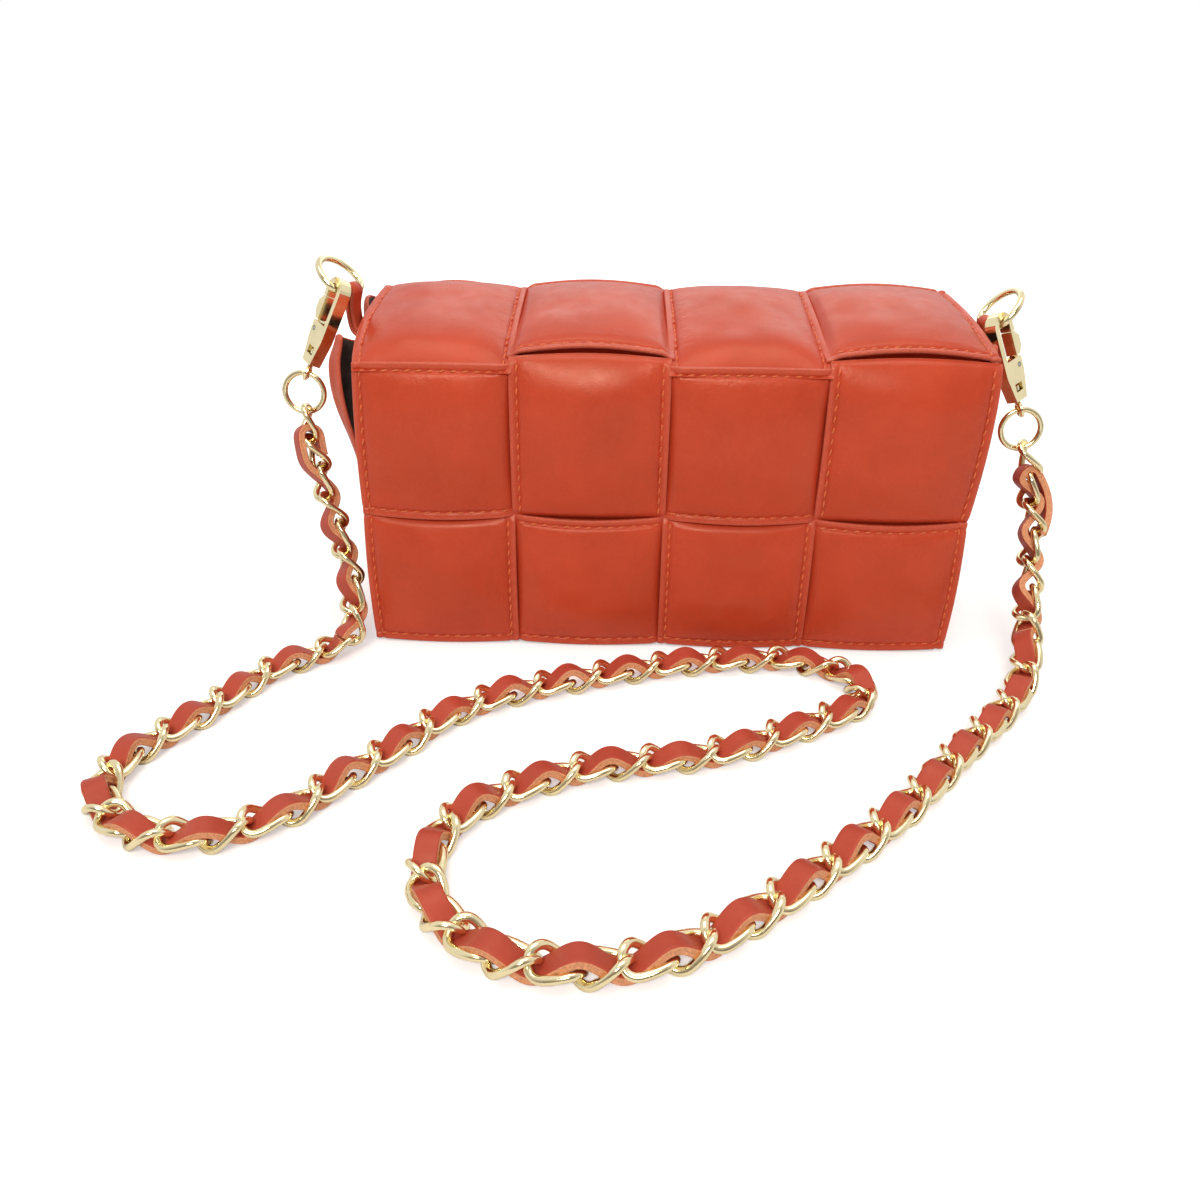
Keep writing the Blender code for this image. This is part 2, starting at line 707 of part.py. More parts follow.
LEFT_RISER = [
    (-0.1388, -0.0155, 0.0730),
    (-0.1335, -0.0200, 0.0525),
    (-0.1270, -0.0280, 0.0325),
    (-0.1228, -0.0390, 0.0150),
]
FLOOR_START = (-0.1240, -0.0475, 0.0075)
FLOOR_RUN = [
    (-0.1326, -0.0532),
    (-0.1483, -0.0675),
    (-0.1578, -0.0869),
    (-0.1671, -0.1063),
    (-0.1765, -0.1225),
    (-0.1770, -0.1420),
    (-0.1625, -0.1575),
    (-0.1398, -0.1618),
    (-0.1176, -0.1504),
    (-0.1020, -0.1302),
    (-0.0881, -0.1122),
    (-0.0763, -0.0950),
    (-0.0576, -0.0812),
    (-0.0370, -0.0718),
    (-0.0157, -0.0637),
    (0.0067, -0.0568),
    (0.0283, -0.0528),
    (0.0518, -0.0519),
    (0.0695, -0.0612),
    (0.0750, -0.0745),
    (0.0660, -0.0866),
    (0.0419, -0.1014),
    (0.0204, -0.1130),
    (-0.0034, -0.1195),
    (-0.0253, -0.1240),
    (-0.0466, -0.1345),
    (-0.0620, -0.1465),
    (-0.0700, -0.1640),
    (-0.0665, -0.1850),
    (-0.0483, -0.2015),
    (-0.0265, -0.2055),
    (-0.0027, -0.2010),
    (0.0190, -0.1874),
    (0.0357, -0.1739),
    (0.0527, -0.1591),
    (0.0690, -0.1438),
    (0.0851, -0.1262),
    (0.1007, -0.1079),
    (0.1169, -0.0905),
]
FLOOR_END = (0.1340, -0.0690, 0.0075)
RIGHT_RISER = [
    (0.1400, -0.0510, 0.0160),
    (0.1440, -0.0335, 0.0310),
    (0.1462, -0.0215, 0.0480),
    (0.1455, -0.0150, 0.0600),
]


def smooth_line(places, step):
    """Points a step apart along a smooth curve through the places."""
    nodes = [Vector(p) for p in places]
    nodes = [2 * nodes[0] - nodes[1]] + nodes + [2 * nodes[-1] - nodes[-2]]
    dense = []
    for a, b, c, d in zip(nodes, nodes[1:], nodes[2:], nodes[3:]):
        for i in range(CURVE_STEPS):
            t = i / CURVE_STEPS
            dense.append(0.5 * (2 * b + (c - a) * t + (2 * a - 5 * b + 4 * c - d) * t**2
                                + (3 * b - a - 3 * c + d) * t**3))
    dense.append(nodes[-2])
    length = sum((q - p).length for p, q in zip(dense, dense[1:]))
    count = max(2, round(length / step))
    spacing = length / count
    points = [dense[0]]
    travelled = 0.0
    for p, q in zip(dense, dense[1:]):
        travelled += (q - p).length
        if travelled >= spacing * len(points) - GAP and len(points) < count:
            points.append(q)
    points.append(dense[-1])
    return points, length


def split_near(points, place):
    """Cut a line in the middle of the straight step nearest a place, leaving a face's gap."""
    nearest = min(range(len(points)), key=lambda i: (points[i] - Vector(place)).length)
    middle = (points[nearest] + points[nearest + 1]) / 2
    half_gap = (points[nearest + 1] - points[nearest]).normalized() * GAP / 2
    return points[: nearest + 1] + [middle - half_gap], [middle + half_gap] + points[nearest + 1 :]


def strap(look):
    """Three stretches: down from each round ring, and the run along the ground."""
    rest = STRAP_RADIUS + GAP
    reach = O_RING_RADIUS + O_RING_WIRE + 2 * GAP
    ends = []
    for side, place in ((-1, LEFT_RISER[0]), (1, RIGHT_RISER[-1])):
        centre = o_ring_frame(side)[0]
        ends.append(centre + (Vector(place) - centre).normalized() * reach)
    ground = [(x, y, rest) for x, y in FLOOR_RUN]
    whole = [ends[0], *LEFT_RISER, FLOOR_START, *ground, FLOOR_END, *RIGHT_RISER, ends[1]]
    points, total = smooth_line(whole, STRAP_STEP)
    left_riser, rest_of_strap = split_near(points, FLOOR_START)
    ground_run, right_riser = split_near(rest_of_strap, FLOOR_END)
    tube("strap_left_riser", left_riser, STRAP_RADIUS, look)
    tube("strap_ground_run", ground_run, STRAP_RADIUS, look)
    tube("strap_right_riser", right_riser, STRAP_RADIUS, look)
    print("strap length", round(total, 4), "points", len(points))


def main():
    clear_scene()
    leather = material("red_leather", RED, 0.42)
    edge = material("edge_leather", EDGE_RED, 0.55)
    dark = material("dark_lining", DARK, 0.80)
    gold = material("gold_metal", GOLD, 0.22, 1.0)
    steel = material("pin_steel", STEEL, 0.30, 1.0)
    magnet = material("snap_metal", GOLD, 0.30, 1.0)
    chain = material("chain_and_lace", GOLD, 0.35, 0.6)
    lift = pivot_at("flap_lift_pivot", (0, BACK_FACE, LIFT_HEIGHT))
    fold = pivot_at("flap_fold_pivot", (0, FRONT_FACE, FOLD_HEIGHT), lift)
    flap_top(leather, dark, lift)
    flap_front(leather, dark, magnet, fold)
    walls(dark)
    snap_disc("snap_socket", FRONT_WALL_OUTER - GAP - SNAP_THICKNESS, magnet)
    base_pads(leather)
    back_pads(leather)
    side_pads(leather)
    for side, word in ((-1, "left"), (1, "right")):
        tab(side, f"{word}_tab", edge)
        clasp(side, word, gold, steel)
    strap(chain)


main()
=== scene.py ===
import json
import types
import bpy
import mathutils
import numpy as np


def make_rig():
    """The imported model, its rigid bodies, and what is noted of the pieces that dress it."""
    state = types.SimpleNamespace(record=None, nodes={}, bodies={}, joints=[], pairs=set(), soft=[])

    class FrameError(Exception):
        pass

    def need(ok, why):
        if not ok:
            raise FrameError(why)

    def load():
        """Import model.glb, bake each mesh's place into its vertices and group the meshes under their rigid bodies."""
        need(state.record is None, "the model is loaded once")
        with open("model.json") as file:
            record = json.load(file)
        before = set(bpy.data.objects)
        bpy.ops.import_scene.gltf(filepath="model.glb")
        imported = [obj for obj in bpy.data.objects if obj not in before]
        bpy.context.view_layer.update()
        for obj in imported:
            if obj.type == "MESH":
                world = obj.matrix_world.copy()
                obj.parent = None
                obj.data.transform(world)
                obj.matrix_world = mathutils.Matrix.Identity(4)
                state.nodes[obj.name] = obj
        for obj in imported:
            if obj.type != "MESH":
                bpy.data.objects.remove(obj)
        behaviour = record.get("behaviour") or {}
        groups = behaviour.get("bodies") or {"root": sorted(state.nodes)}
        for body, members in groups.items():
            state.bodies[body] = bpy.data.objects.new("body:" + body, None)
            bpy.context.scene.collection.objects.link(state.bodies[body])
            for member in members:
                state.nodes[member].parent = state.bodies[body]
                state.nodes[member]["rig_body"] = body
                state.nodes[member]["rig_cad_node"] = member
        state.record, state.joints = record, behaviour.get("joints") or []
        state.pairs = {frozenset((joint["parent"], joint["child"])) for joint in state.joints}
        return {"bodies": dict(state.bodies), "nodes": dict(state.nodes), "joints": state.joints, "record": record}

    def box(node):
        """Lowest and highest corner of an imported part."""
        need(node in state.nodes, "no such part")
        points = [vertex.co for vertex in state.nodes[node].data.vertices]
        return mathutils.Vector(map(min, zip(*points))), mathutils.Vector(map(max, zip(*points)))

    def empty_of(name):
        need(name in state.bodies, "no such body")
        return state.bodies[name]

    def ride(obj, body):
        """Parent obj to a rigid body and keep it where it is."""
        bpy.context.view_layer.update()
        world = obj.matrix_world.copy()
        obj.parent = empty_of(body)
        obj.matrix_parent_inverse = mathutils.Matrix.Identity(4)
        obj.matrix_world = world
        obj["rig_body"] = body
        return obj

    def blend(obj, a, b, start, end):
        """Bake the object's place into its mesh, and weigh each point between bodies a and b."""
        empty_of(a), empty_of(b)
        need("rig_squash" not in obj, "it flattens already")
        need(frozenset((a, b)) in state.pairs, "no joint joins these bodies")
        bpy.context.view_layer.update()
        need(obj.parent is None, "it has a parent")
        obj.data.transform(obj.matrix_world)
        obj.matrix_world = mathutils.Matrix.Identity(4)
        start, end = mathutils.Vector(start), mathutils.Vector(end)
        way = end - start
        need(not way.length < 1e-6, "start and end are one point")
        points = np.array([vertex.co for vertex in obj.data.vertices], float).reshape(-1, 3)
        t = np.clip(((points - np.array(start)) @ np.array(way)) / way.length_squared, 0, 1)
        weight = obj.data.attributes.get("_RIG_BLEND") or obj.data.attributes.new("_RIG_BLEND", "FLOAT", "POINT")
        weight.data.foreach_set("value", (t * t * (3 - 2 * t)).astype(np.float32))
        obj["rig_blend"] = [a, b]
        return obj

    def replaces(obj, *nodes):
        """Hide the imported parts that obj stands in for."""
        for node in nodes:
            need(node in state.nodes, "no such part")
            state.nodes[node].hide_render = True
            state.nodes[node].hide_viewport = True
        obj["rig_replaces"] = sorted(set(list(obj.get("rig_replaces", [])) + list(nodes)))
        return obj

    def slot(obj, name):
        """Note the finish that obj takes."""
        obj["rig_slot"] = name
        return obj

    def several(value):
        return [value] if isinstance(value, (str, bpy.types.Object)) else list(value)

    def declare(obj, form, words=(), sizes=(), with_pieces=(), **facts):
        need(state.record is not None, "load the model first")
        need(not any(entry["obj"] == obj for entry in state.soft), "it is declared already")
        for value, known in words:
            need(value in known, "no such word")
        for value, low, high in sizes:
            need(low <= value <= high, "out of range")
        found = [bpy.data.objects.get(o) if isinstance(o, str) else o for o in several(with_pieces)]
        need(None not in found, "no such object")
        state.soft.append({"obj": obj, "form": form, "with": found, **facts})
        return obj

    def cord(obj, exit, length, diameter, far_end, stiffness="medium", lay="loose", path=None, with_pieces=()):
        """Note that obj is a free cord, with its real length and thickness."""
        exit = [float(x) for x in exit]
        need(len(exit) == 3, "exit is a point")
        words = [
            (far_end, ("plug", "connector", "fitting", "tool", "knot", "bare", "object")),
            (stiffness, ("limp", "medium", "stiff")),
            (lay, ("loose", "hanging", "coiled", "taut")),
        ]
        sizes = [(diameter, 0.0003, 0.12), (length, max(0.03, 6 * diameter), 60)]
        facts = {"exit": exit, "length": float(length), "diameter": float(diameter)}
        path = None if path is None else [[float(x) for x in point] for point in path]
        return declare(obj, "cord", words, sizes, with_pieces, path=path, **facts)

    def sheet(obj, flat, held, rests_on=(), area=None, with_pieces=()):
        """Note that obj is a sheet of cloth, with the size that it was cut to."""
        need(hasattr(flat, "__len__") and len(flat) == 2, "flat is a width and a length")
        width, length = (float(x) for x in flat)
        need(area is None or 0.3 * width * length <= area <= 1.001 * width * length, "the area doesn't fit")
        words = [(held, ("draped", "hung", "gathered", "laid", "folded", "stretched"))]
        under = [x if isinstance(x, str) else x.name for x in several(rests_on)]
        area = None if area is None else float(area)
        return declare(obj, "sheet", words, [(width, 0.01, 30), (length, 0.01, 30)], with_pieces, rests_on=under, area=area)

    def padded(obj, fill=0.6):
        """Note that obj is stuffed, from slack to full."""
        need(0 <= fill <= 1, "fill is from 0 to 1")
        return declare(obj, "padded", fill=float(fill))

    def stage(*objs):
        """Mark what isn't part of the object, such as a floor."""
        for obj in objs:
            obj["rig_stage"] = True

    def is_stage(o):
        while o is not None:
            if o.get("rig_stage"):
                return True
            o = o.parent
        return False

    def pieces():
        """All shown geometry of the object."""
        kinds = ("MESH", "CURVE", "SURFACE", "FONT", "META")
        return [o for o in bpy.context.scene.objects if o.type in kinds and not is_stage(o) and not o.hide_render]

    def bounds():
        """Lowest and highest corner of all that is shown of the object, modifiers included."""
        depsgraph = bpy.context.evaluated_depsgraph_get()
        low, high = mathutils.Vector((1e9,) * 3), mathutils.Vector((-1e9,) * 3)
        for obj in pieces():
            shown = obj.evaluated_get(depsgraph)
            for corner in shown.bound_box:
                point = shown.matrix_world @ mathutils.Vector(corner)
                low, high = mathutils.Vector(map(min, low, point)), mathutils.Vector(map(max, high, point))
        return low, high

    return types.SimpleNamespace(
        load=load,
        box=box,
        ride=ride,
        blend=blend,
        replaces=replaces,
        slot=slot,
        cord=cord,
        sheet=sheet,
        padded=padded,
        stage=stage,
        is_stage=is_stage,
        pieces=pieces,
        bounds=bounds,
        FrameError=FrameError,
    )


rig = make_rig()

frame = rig.load()

import json
import math
import random
from collections import namedtuple

import bmesh
import bpy
from mathutils import Matrix, Vector, noise

CAD_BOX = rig.bounds()

# Which way each side of the bag faces along X
SIDES = {"left": -1, "right": 1}

# Camera, where the photograph was taken from
CAMERA_PLACE = Vector((-0.01855, -0.37444, 0.19163))
CAMERA_LENS = 28.5
CAMERA_SENSOR = 36.0
CAMERA_PITCH_DEG = 26.79
CAMERA_YAW_DEG = 0.94
CAMERA_ROLL_DEG = 0.706

# Light and floor. Each lamp has its place, what it faces, its size and its power.
LAMP_COLOUR = (1.0, 0.95, 0.88)
LAMPS = {
    "overhead": ((0.0, -0.10, 1.0), (0.0, -0.02, 0.05), (0.8, 0.5), 3.2),
    "front": ((-0.15, -1.10, 0.98), (0.0, 0.0, 0.06), (0.55, 0.26), 8.6),
    "back": ((0.15, 0.95, 0.75), (0.0, 0.0, 0.10), (1.0, 0.45), 1.3),
}
ROOM_SHADE = (0.30, 0.27, 0.24)
FLOOR_HALF = 6.0


# Strap: the route of the chain, as in the solid model
O_RING_RADIUS = 0.0076
O_RING_WIRE = 0.0011
RING_RIM = O_RING_RADIUS + O_RING_WIRE + 0.0006
LINE_HEIGHT = 0.0053
LEFT_RISER = [
    (-0.1388, -0.0155, 0.0730),
    (-0.1335, -0.0200, 0.0525),
    (-0.1270, -0.0280, 0.0325),
    (-0.1228, -0.0390, 0.0150),
]
FLOOR_START = (-0.1240, -0.0475, 0.0075)
FLOOR_RUN = [
    (-0.1326, -0.0532), (-0.1483, -0.0675), (-0.1578, -0.0869), (-0.1671, -0.1063), (-0.1765, -0.1225),
    (-0.1770, -0.1420), (-0.1625, -0.1575), (-0.1398, -0.1618), (-0.1176, -0.1504), (-0.1020, -0.1302),
    (-0.0881, -0.1122), (-0.0763, -0.0950), (-0.0576, -0.0812), (-0.0370, -0.0718), (-0.0157, -0.0637),
    (0.0067, -0.0568), (0.0283, -0.0528), (0.0518, -0.0519), (0.0695, -0.0612), (0.0750, -0.0745),
    (0.0660, -0.0866), (0.0419, -0.1014), (0.0204, -0.1130), (-0.0034, -0.1195), (-0.0253, -0.1240),
    (-0.0466, -0.1345), (-0.0620, -0.1465), (-0.0700, -0.1640), (-0.0665, -0.1850), (-0.0483, -0.2015),
    (-0.0265, -0.2055), (-0.0027, -0.2010), (0.0190, -0.1874), (0.0357, -0.1739), (0.0527, -0.1591),
    (0.0690, -0.1438), (0.0851, -0.1262), (0.1007, -0.1079), (0.1169, -0.0905),
]
FLOOR_END = (0.1340, -0.0690, 0.0075)
RIGHT_RISER = [
    (0.1400, -0.0510, 0.0160),
    (0.1440, -0.0335, 0.0310),
    (0.1462, -0.0215, 0.0480),
    (0.1455, -0.0150, 0.0600),
]
O_RING_CENTRES = {"left": (-0.141216, -0.008341, 0.095311), "right": (0.139202, -0.0089, 0.085612)}
ROUTE_PARTS = 24
ROUTE_STEP = 0.001
# How far the strap's up direction is pulled upright at each step on the ground
FLOOR_PULL = 0.2

# Chain links and the lace that runs through them. Joints and arches are heights off the strap's line.
STRAP_NODES = {"left": "strap_left_riser", "ground": "strap_ground_run", "right": "strap_right_riser"}
# Shares of a riser's height between which it bends from the ground to the hook
RISER_BEND_SHARES = (0.08, 0.90)
LINKS = 93
LINK_WIRE = 0.00124
LINK_FLATNESS = 1.10
LINK_HALF_WIDTH = 0.00455
LINK_OVERLAP = 0.00118
LINK_TWIST_DEG = 46.0
LINK_ARC_STEPS = 16
LINK_SIDES = 12
RING_GRIP = 0.00655
HIGH_JOINT = 0.0006
LOW_JOINT = -0.0023
LACE_WIDTH = 0.0070
LACE_THICKNESS = 0.0027
LACE_LOW = -0.0036
LACE_HIGH = 0.0023
LACE_SLACK = 0.0014
LACE_ROLL_DEG = 14
LACE_HOLD_SHARE = 0.38
LACE_STEP = 0.0007
LACE_SETBACK = 0.0015
# The first arch is higher, and falls to the others' level between two counts of links
FIRST_ARCH = 0.0042
FIRST_ARCH_FALL = 1.6
FIRST_ARCH_END = 3
FOLD_STEPS = 12
FOLD_DEPTH_SHARE = 0.85
LEFT_TAIL = 0.0085
RIGHT_TAIL = 0.0250
RIGHT_TAIL_BULGE = 0.0028
PLACE_SMOOTHING = 5
SIDE_SMOOTHING = 12
# The lace's section, as shares of half its width and half its thickness
LACE_CORNER_SHARES = [(0.90, 1), (0.98, 0.86), (1, 0.60), (1, 0.22), (0.95, 0.0)]
LACE_FACE_SHARES = (-0.7, -0.45, -0.2, 0.0, 0.2, 0.45, 0.7)
LEFT_TURN_DEG = 46.0
RIGHT_TURN_DEG = -78.0
TURN_HOLD = 0.040
TURN_REACH = 0.115

# Bag, as in the solid model
BAG_WIDTH = 0.230
BAG_DEPTH = 0.072
FRONT_HEIGHT = 0.114
BACK_HEIGHT = 0.1305
GROUND_GAP = 0.0018
COLUMNS = 4
PAD_EDGE = 0.0035
GAP = 0.0003

# Padded squares
FRONT_CROWN = 0.0050
TOP_CROWN = 0.0056
SIDE_CROWN = 0.0036
SIDE_LEVEL = 0.0030
BASE_CROWN = 0.0038
BASE_LEVEL = 0.0048
SWELL_REACH = 0.0235
SWELL_POWER = 2.5
HELD_SIDE_SWELL = 0.0008
# Dents in the padding: how many to a side, a shift of the pattern and the depth
DENTS = [(2.3, 0, 0.0011), (6.0, 5, 0.0004)]
LIP_THICKNESS = 0.0017
LIP_OVERHANG = 0.0006
LIP_DEPTH = 0.0026
LIP_BULGE_REACH = 0.0090
LIP_BOW_REACH = 0.0110
LIP_ROOM = 0.0001
LEAST_LIP = 0.0002
LIP_FILL_SHARE = 0.85
# Share and reach of the paler lip colour near free edges: edge wear and a painted highlight
LIP_WEAR_AND_SHEEN_SHARE = 0.55
LIP_WEAR_AND_SHEEN_REACH = 0.0011
CREASE_PLACE = 0.0055
CREASE_REACH = 0.0035
SEAT = 0.00005
TUCK_LEVEL = 0.0019
TUCK_REACH = 0.0018
TUCK_SLOPE = 0.0040
SHORT_REACH = 0.0008
SIDE_REACH = 0.0004
TOP_ROLL_REACH = 0.0014
ROLL_RADIUS = 0.0140
ROLL_LEVEL = 0.0006
FRONT_ROLL_BOW = 0.0015
FRONT_TUCK_BOW = -0.0006
FRONT_TUCK_DIP = 0.0012
BACK_TUCK_DIP = 0.0010
STITCH_INSET = 0.0024
STITCH_PITCH = 0.0041
STITCH_START = 0.0032
STITCH_LENGTH = 0.0029
STITCH_RADIUS = 0.00042
STITCH_SINK = 0.00028
STITCH_SLANT_DEG = 9.0
STITCH_SLANT_SPREAD_DEG = 3
GROOVE_DEPTH = 0.0006
GROOVE_WIDTH = 0.0007
PUCKER_SHARE = 0.35

# Bulge and bow of each kind of free edge
LIPS = {
    "strip": (0.0012, 0.0), "side": (0.0006, 0.0), "base": (0.0, 0.0), "end": (0.0004, 0.0006),
    "top_front": (0.0024, -0.0012), "top_back": (0.0022, 0.0010),
    "top_left_end": (0.0006, 0.0030), "top_right_end": (0.0006, 0.0016),
    "front_top": (0.0012, 0.0006), "front_middle": (0.0022, -0.0012), "front_low": (0.0020, 0.0010),
    "front_bottom": (0.0010, 0.0008), "front_right_end": (0.0004, 0.0011),
    "front_right_low": (0.0004, 0.0008),
    "back_top": (0.0012, 0.0012), "back_middle": (0.0020, -0.0010), "back_low": (0.0018, 0.0008),
    "back_bottom": (0.0010, 0.0004), "back_left_top": (0.0012, 0.0055),
}

# Places of the grid's lines, as distances from a side in metres: close together at lips and grooves
NEAR_SIDE = [0.0, 0.0006, 0.0012, 0.0017, 0.0021, 0.0025, 0.0029, 0.0034, 0.0041, 0.0052, 0.0068,
             0.009, 0.012]
MIDDLE_STEPS = 12

# Rings from the lip's edge to the base, as shares of overhang and of the lip's thickness. The last two
# lie under the square, without an overhang, and the last one lies on its base.
LIP_RINGS = [(0.55, 0.08), (0.90, 0.28), (1.0, 0.55), (0.75, 0.86), (0.1, 1.0), (None, 1.04), (None, None)]

# Fold between the flap's top and front: how far the squares reach over it
FLAT_STRIP_LIFT = 0.0030
UPRIGHT_STRIP_LIFT = 0.0052
TOP_LIP_SETBACK = 0.0050
TOP_LIP_RAISE = 0.0025
LEFT_TAPER = 0.0014
RIGHT_SPREAD = 0.0022

# Side gussets: each front edge stands away from the side wall and shows the lining. Shares run from
# front to back, or from the bottom upwards for the upper part and the shoulder.
GUSSET_THICKNESS = 0.0021
GUSSET_FILL = 0.0016
GUSSET_SWELL = 0.0032
GUSSET_FLARES = {"left": 0.0138, "right": 0.0075}
GUSSET_INSET = 0.0030
GUSSET_SETBACK = 0.0035
GUSSET_UPPER_SHARE = 0.70
GUSSET_SHOULDER_SHARE = 0.85
GUSSET_TURN_IN_SHARE = 0.25
GUSSET_HANG = 0.0022
GUSSET_TOP_RISE = 0.0046
GUSSET_EAR = 0.0090
GUSSET_EAR_SHARE = 0.35
GUSSET_OPEN_SHARE = 0.62
GUSSET_OPEN_POWER = 1.9
GUSSET_CURL_SHARE = 0.50
GUSSET_CURL_END_SHARE = 0.16
GUSSET_BACK_EARS = {"left": 0.0075, "right": 0.0030}
GUSSET_BACK_FLARE = 0.0042
GUSSET_BACK_START_SHARE = 0.58
GUSSET_DENT = 0.0009
# Reach of the paler colour along the gusset's front edge: edge wear and a painted highlight
GUSSET_WEAR_AND_SHEEN_REACH = 0.0012
GUSSET_CREASE_PLACE = 0.010
GUSSET_CREASE_REACH = 0.006
GUSSET_EDGE_ROUNDING = 0.0007

# Flap lining, one band under the top and one that runs over the fold and down behind the front
LINING_THICKNESS = 0.0015
LINING_HALF_WIDTH = 0.1130
LINING_SEAM = -0.0220
LINING_FRONT = -0.03145
LINING_BEND = 0.0040
LINING_BACK = 0.0318
# The hem at the back: place, and drop below the lining's level
LINING_HEM = [(0.0332, 0.0009), (0.0339, 0.0026), (0.0340, 0.0055)]
# Height below the fold where the lining's rows lie closest
LINING_FINE_HEIGHT = 0.0080

# Tabs and rings, as in the solid model
TAB_WIDTH = 0.0060
TAB_LEATHER = 0.0016
TAB_PLACE = 0.0027
TAB_RISE = 0.0045
TAB_PINCH = 0.0035
TAB_PLAY = 0.0002
# The tab's section, as shares of half its width and half its thickness, and its points on a cut edge
TAB_SECTION_SHARES = [(1, 0.45), (0.93, 1), (0.5, 1), (0, 1), (-0.5, 1), (-0.93, 1), (-1, 0.45),
                      (-1, -0.45), (-0.93, -1), (0, -1), (0.93, -1), (1, -0.45)]
TAB_EDGE_POINTS = (0, 6, 7, 11)
D_WIRE = 0.0013
BAR_PLACES = {"left": (-0.1216, 0.0027, 0.132188), "right": (0.1229, 0.0027, 0.123188)}
BAR_YAWS_DEG = {"left": 18.0, "right": 7.0}
D_WIDTH = 0.0195
D_DEPTH = 0.0155
D_CORNER = 0.0050
D_LEANS_DEG = {"left": 44.0, "right": 38.0}
WIRE_SIDES = 18
METAL_ROUNDING = 0.00035

# Colours, linear
RED = (0.555, 0.058, 0.021)
# Paler red of the lips: partly edge wear, partly a painted highlight along the raised edges
LIP_WEAR_AND_SHEEN_RED = (0.600, 0.105, 0.060)
THREAD = (0.760, 0.150, 0.040)
LACE_RED = (0.500, 0.070, 0.040)
RAW_EDGE = (0.780, 0.330, 0.160)
DARK = (0.085, 0.052, 0.042)
GOLD = (0.950, 0.820, 0.500)
STEEL = (0.560, 0.560, 0.550)
GLOSS_TINT = (1.0, 0.74, 0.56)


def clamp(x, low=0.0, high=1.0):
    return min(max(x, low), high)


def smoothstep(x):
    x = clamp(x)
    return x * x * (3 - 2 * x)


def arch(share):
    """Half wave: 0 at both ends of a side and 1 at its middle."""
    return math.sin(math.pi * clamp(share))


def bell(distance, reach):
    return math.exp(-((distance / reach) ** 2))


def spread(start, end, steps):
    return [start + (end - start) * i / steps for i in range(steps + 1)]


# Materials


def add(tree, kind, inputs=None, **settings):
    """New node. Its inputs take plain values or other nodes' outputs. Returns its outputs."""
    node = tree.nodes.new(kind)
    for key, value in settings.items():
        setattr(node, key, value)
    feed(tree, node, inputs or {})
    return node.outputs


def feed(tree, node, inputs):
    for key, value in inputs.items():
        if isinstance(value, bpy.types.NodeSocket):
            tree.links.new(value, node.inputs[key])
        else:
            node.inputs[key].default_value = value


def new_material(name):
    """Material with its node tree, its shader and the object's own coordinates."""
    result = bpy.data.materials.new(name)
    result.use_nodes = True
    tree = result.node_tree
    return result, tree, tree.nodes["Principled BSDF"], add(tree, "ShaderNodeTexCoord")["Object"]


def cloud(tree, place, scale, detail=2.0, roughness=0.5):
    inputs = {"Vector": place, "Scale": scale, "Detail": detail, "Roughness": roughness}
    return add(tree, "ShaderNodeTexNoise", inputs)["Fac"]


def ramp(tree, source, low, high, start=0.0, end=1.0):
    """Colour between two colours as a value goes from start to end."""
    node = tree.nodes.new("ShaderNodeValToRGB")
    for element, position, colour in zip(node.color_ramp.elements, (start, end), (low, high)):
        element.position = position
        element.color = (*colour, 1)
    tree.links.new(source, node.inputs["Fac"])
    return node.outputs["Color"]


def shades(tree, source, colour, low, high, start=0.3, end=0.7):
    """Darker to lighter shades of one colour, as shares of it."""
    return ramp(tree, source, scaled(colour, low), scaled(colour, high), start, end)


def scaled(colour, share):
    return tuple(min(1.0, part * share) for part in colour)


def mix_colour(tree, factor, first, second):
    return add(tree, "ShaderNodeMix", {0: factor, 6: first, 7: second}, data_type="RGBA")[2]


def fit(tree, source, low, high, new_low, new_high):
    inputs = {"Value": source, "From Min": low, "From Max": high, "To Min": new_low, "To Max": new_high}
    return add(tree, "ShaderNodeMapRange", inputs)["Result"]


def bump(tree, layers):
    """Stack bumps: each layer is a height source, its strength and its depth in metres."""
    normal = {}
    for height, strength, depth in layers:
        inputs = {"Height": height, "Strength": strength, "Distance": depth, **normal}
        normal = {"Normal": add(tree, "ShaderNodeBump", inputs)["Normal"]}
    return normal["Normal"]


def painted(tree, name):
    """Value that a mesh carries at each of its points."""
    return add(tree, "ShaderNodeAttribute", attribute_name=name)["Fac"]


def leather(name, colour, lip_wear_and_sheen_colour, roughness, coat):
    """Smooth coated leather: slow colour drift, fine pores, creases, and lips paler from edge wear and a painted
    highlight.
    """
    result, tree, shader, place = new_material(name)
    body = shades(tree, cloud(tree, place, 38.0, 3.0, 0.55), colour, 0.90, 1.10)
    speck = cloud(tree, place, 900.0, 3.0, 0.6)
    speckled = shades(tree, speck, colour, 0.84, 1.06, 0.32, 0.62)
    # The "lip" value mixes in the paler lip colour: partly edge wear, partly a painted highlight where the raised
    # edges catch the light
    lip_wear_and_sheen = shades(tree, speck, lip_wear_and_sheen_colour, 0.86, 1.12)
    final = mix_colour(tree, painted(tree, "lip"), mix_colour(tree, 0.25, body, speckled), lip_wear_and_sheen)
    rough = fit(tree, cloud(tree, place, 160.0, 4.0), 0.3, 0.7, roughness - 0.05, roughness + 0.07)
    pore_inputs = {"Vector": place, "Scale": 1500.0, "Smoothness": 0.6}
    pores = add(tree, "ShaderNodeTexVoronoi", pore_inputs, feature="SMOOTH_F1")["Distance"]
    fold_inputs = {0: cloud(tree, place, 260.0, 4.0, 0.6), 1: painted(tree, "crease")}
    folds = add(tree, "ShaderNodeMath", fold_inputs, operation="MULTIPLY")[0]
    creases = cloud(tree, place, 420.0, 5.0, 0.62)
    relief = bump(tree, [(pores, 0.10, 0.00025), (creases, 0.06, 0.00060), (folds, 0.30, 0.0012)])
    feed(tree, shader, {"Base Color": final, "Roughness": rough, "Normal": relief,
                        "Specular IOR Level": 0.42, "Specular Tint": (*GLOSS_TINT, 1),
                        "Coat Weight": coat, "Coat Roughness": 0.30})
    return result


